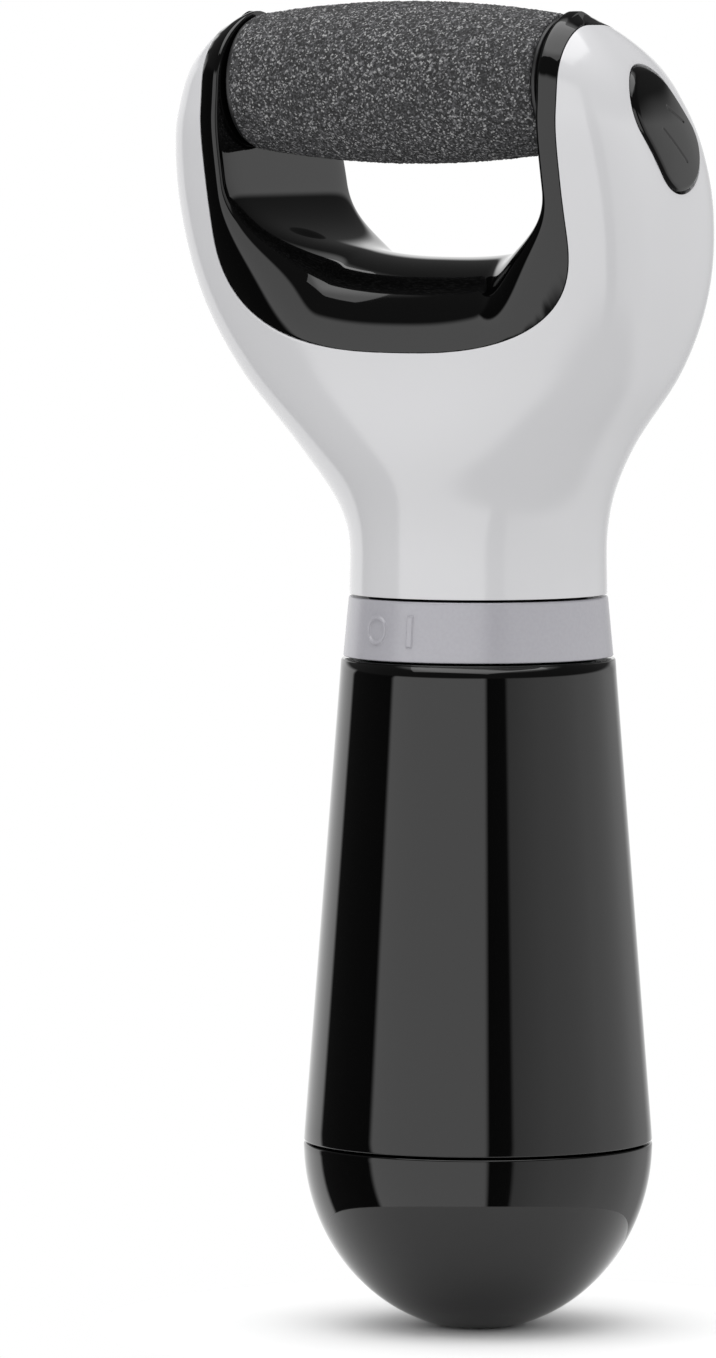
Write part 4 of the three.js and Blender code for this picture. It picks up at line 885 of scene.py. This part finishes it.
def button_outline(angle, radius):
    """A long oval: a half circle at each end of a straight run, reached in the direction of an angle."""
    along, across = np.cos(angle), np.sin(angle)
    straight = radius / np.maximum(np.abs(across), 1e-6)
    lean_in = BUTTON_HALF_RUN * np.abs(along)
    round_end = lean_in + np.sqrt(np.maximum(radius ** 2 - (BUTTON_HALF_RUN * across) ** 2, 0))
    reach = np.where(straight * np.abs(along) < BUTTON_HALF_RUN, straight, round_end)
    return reach * across, BUTTON_MIDDLE + reach * along


def engraved(across, along, start, end):
    """A groove about 0.3 mm wide along a straight line."""
    start, end = np.array(start), np.array(end)
    run = end - start
    t = np.clip(((across - start[0]) * run[0] + (along - start[1]) * run[1]) / (run @ run), 0, 1)
    distance = np.hypot(across - start[0] - t * run[0], along - start[1] - t * run[1])
    return -GROOVE_DEPTH * (1 - smooth_step(0.08, 0.2, distance))


LEFT_LINE = (-1.9, -7.6), (-0.2, -14.6)
RIGHT_LINE = (1.9, -6.6), (3.6, -10.4)
button_angle = np.linspace(0, 2 * math.pi, BUTTON_POINTS)
edge_across, edge_along = button_outline(button_angle, BUTTON_RADIUS - 0.3)
round_part = ROUND_FROM + ROUND_SHARE * np.sin(np.linspace(0, math.pi / 2, 14))[1:]
ring_share = np.concatenate([np.linspace(0, ROUND_FROM, 60), round_part])[:, None]
across = edge_across * ring_share
along = BUTTON_MIDDLE + (edge_along - BUTTON_MIDDLE) * ring_share
button_y, button_z = from_latch(across, along)
lift = BUTTON_PROUD * (1 - np.clip((ring_share - ROUND_FROM) / ROUND_SHARE, 0, 1) ** 2.5) - 0.05
lift = lift + BUTTON_CROWN * (1 - ring_share ** 2) - 0.1
lift = lift + engraved(across, along, *LEFT_LINE) + engraved(across, along, *RIGHT_LINE)
button_x = side_x(button_y, button_z) + lift
top_face = np.stack([button_x, button_y, button_z], axis=-1)
skirt_depth = np.array([0.8, 1.6, 2.4])[:, None]
skirt_y, skirt_z = from_latch(edge_across, edge_along)
skirt_x = side_x(skirt_y, skirt_z) - skirt_depth
skirt = np.stack([skirt_x, skirt_y + 0 * skirt_depth, skirt_z + 0 * skirt_depth], axis=-1)
floor_x = np.full((1, BUTTON_POINTS), skirt_x[-1].mean())
floor_y, floor_z = from_latch(0 * edge_across, 0 * edge_along + BUTTON_MIDDLE)
button_floor = np.stack([floor_x, floor_y[None], floor_z[None]], axis=-1)
button = surface("release_button_moulding", [np.concatenate([top_face, skirt, button_floor])], gloss_black)
stands_for(button, "button", "gloss_black", "release_button")

# %% [markdown]
# ## Metals, rubber and the pieces inside
#
# The drive, the battery pack and the latch keep the model's own meshes. Each gets the finish of what it is
# really made of, with grain or scratches at a real scale.

# %% Finishes of the inner pieces
DRAWN_GRAIN = (1, 1, 0.2)
steel = finish("zinc_plated_steel", "#A9ABAF", "#C2C4C7", 0.8, 0.30, metallic=1.0, bump_mm=0.003,
               stretch=DRAWN_GRAIN)
brass = finish("turned_brass", "#B8923F", "#CBA653", 0.6, 0.27, metallic=1.0, bump_mm=0.003,
               stretch=DRAWN_GRAIN)
copper = finish("enamelled_copper_winding", "#A65A2C", "#C5763F", 0.4, 0.35, metallic=1.0, bump_mm=0.05,
                stretch=(1, 1, 6))
rubber = finish("nitrile_rubber", "#131313", "#1C1C1C", 0.7, 0.6, ior=1.52, bump_mm=0.01)
board = finish("solder_masked_board", "#1E5A34", "#256B3F", 2.5, 0.35, ior=1.5, bump_mm=0.02)
cell_wrap = finish("printed_cell_film", "#2B4B73", "#2F527D", 8.0, 0.25, ior=1.5, spread=0.05)
slot_finish = {
    "gloss_white": gloss_white, "gloss_black": gloss_black, "satin_grey": satin_grey, "abrasive": grit,
    "white_nylon": white_nylon, "black_nylon": black_nylon, "acetal": acetal, "steel": steel, "brass": brass,
    "copper_winding": copper, "seal_rubber": rubber, "circuit_board": board, "cell_wrap": cell_wrap,
}
node_slot = {part["node"]: part["material_slot"] for part in frame["record"]["subparts"]}
for name, node in frame["nodes"].items():
    node.data.materials.clear()
    node.data.materials.append(slot_finish[node_slot[name]])
print("finished", len(frame["nodes"]), "nodes")

# %% [markdown]
# ## Floor
#
# A small plain pale disc catches the soft contact shadow. It isn't part of the object.

# %% Floor
FLOOR_RADIUS = 0.055
FLOOR_CORNERS = 128
UNDER_OBJECT = 0.0002
floor_mesh = bpy.data.meshes.new("floor")
floor_angle = np.linspace(0, 2 * math.pi, FLOOR_CORNERS + 1)[:-1]
floor_points = np.stack([FLOOR_RADIUS * np.cos(floor_angle), FLOOR_RADIUS * np.sin(floor_angle),
                         0 * floor_angle - UNDER_OBJECT], axis=-1)
floor_mesh.from_pydata(floor_points.tolist(), [], [list(range(FLOOR_CORNERS))])
floor_mesh.materials.append(finish("matt_white_paper", "#FAFAFA", "#FCFCFC", 30.0, 0.9, ior=1.4))
floor = bpy.data.objects.new("floor", floor_mesh)
bpy.context.scene.collection.objects.link(floor)
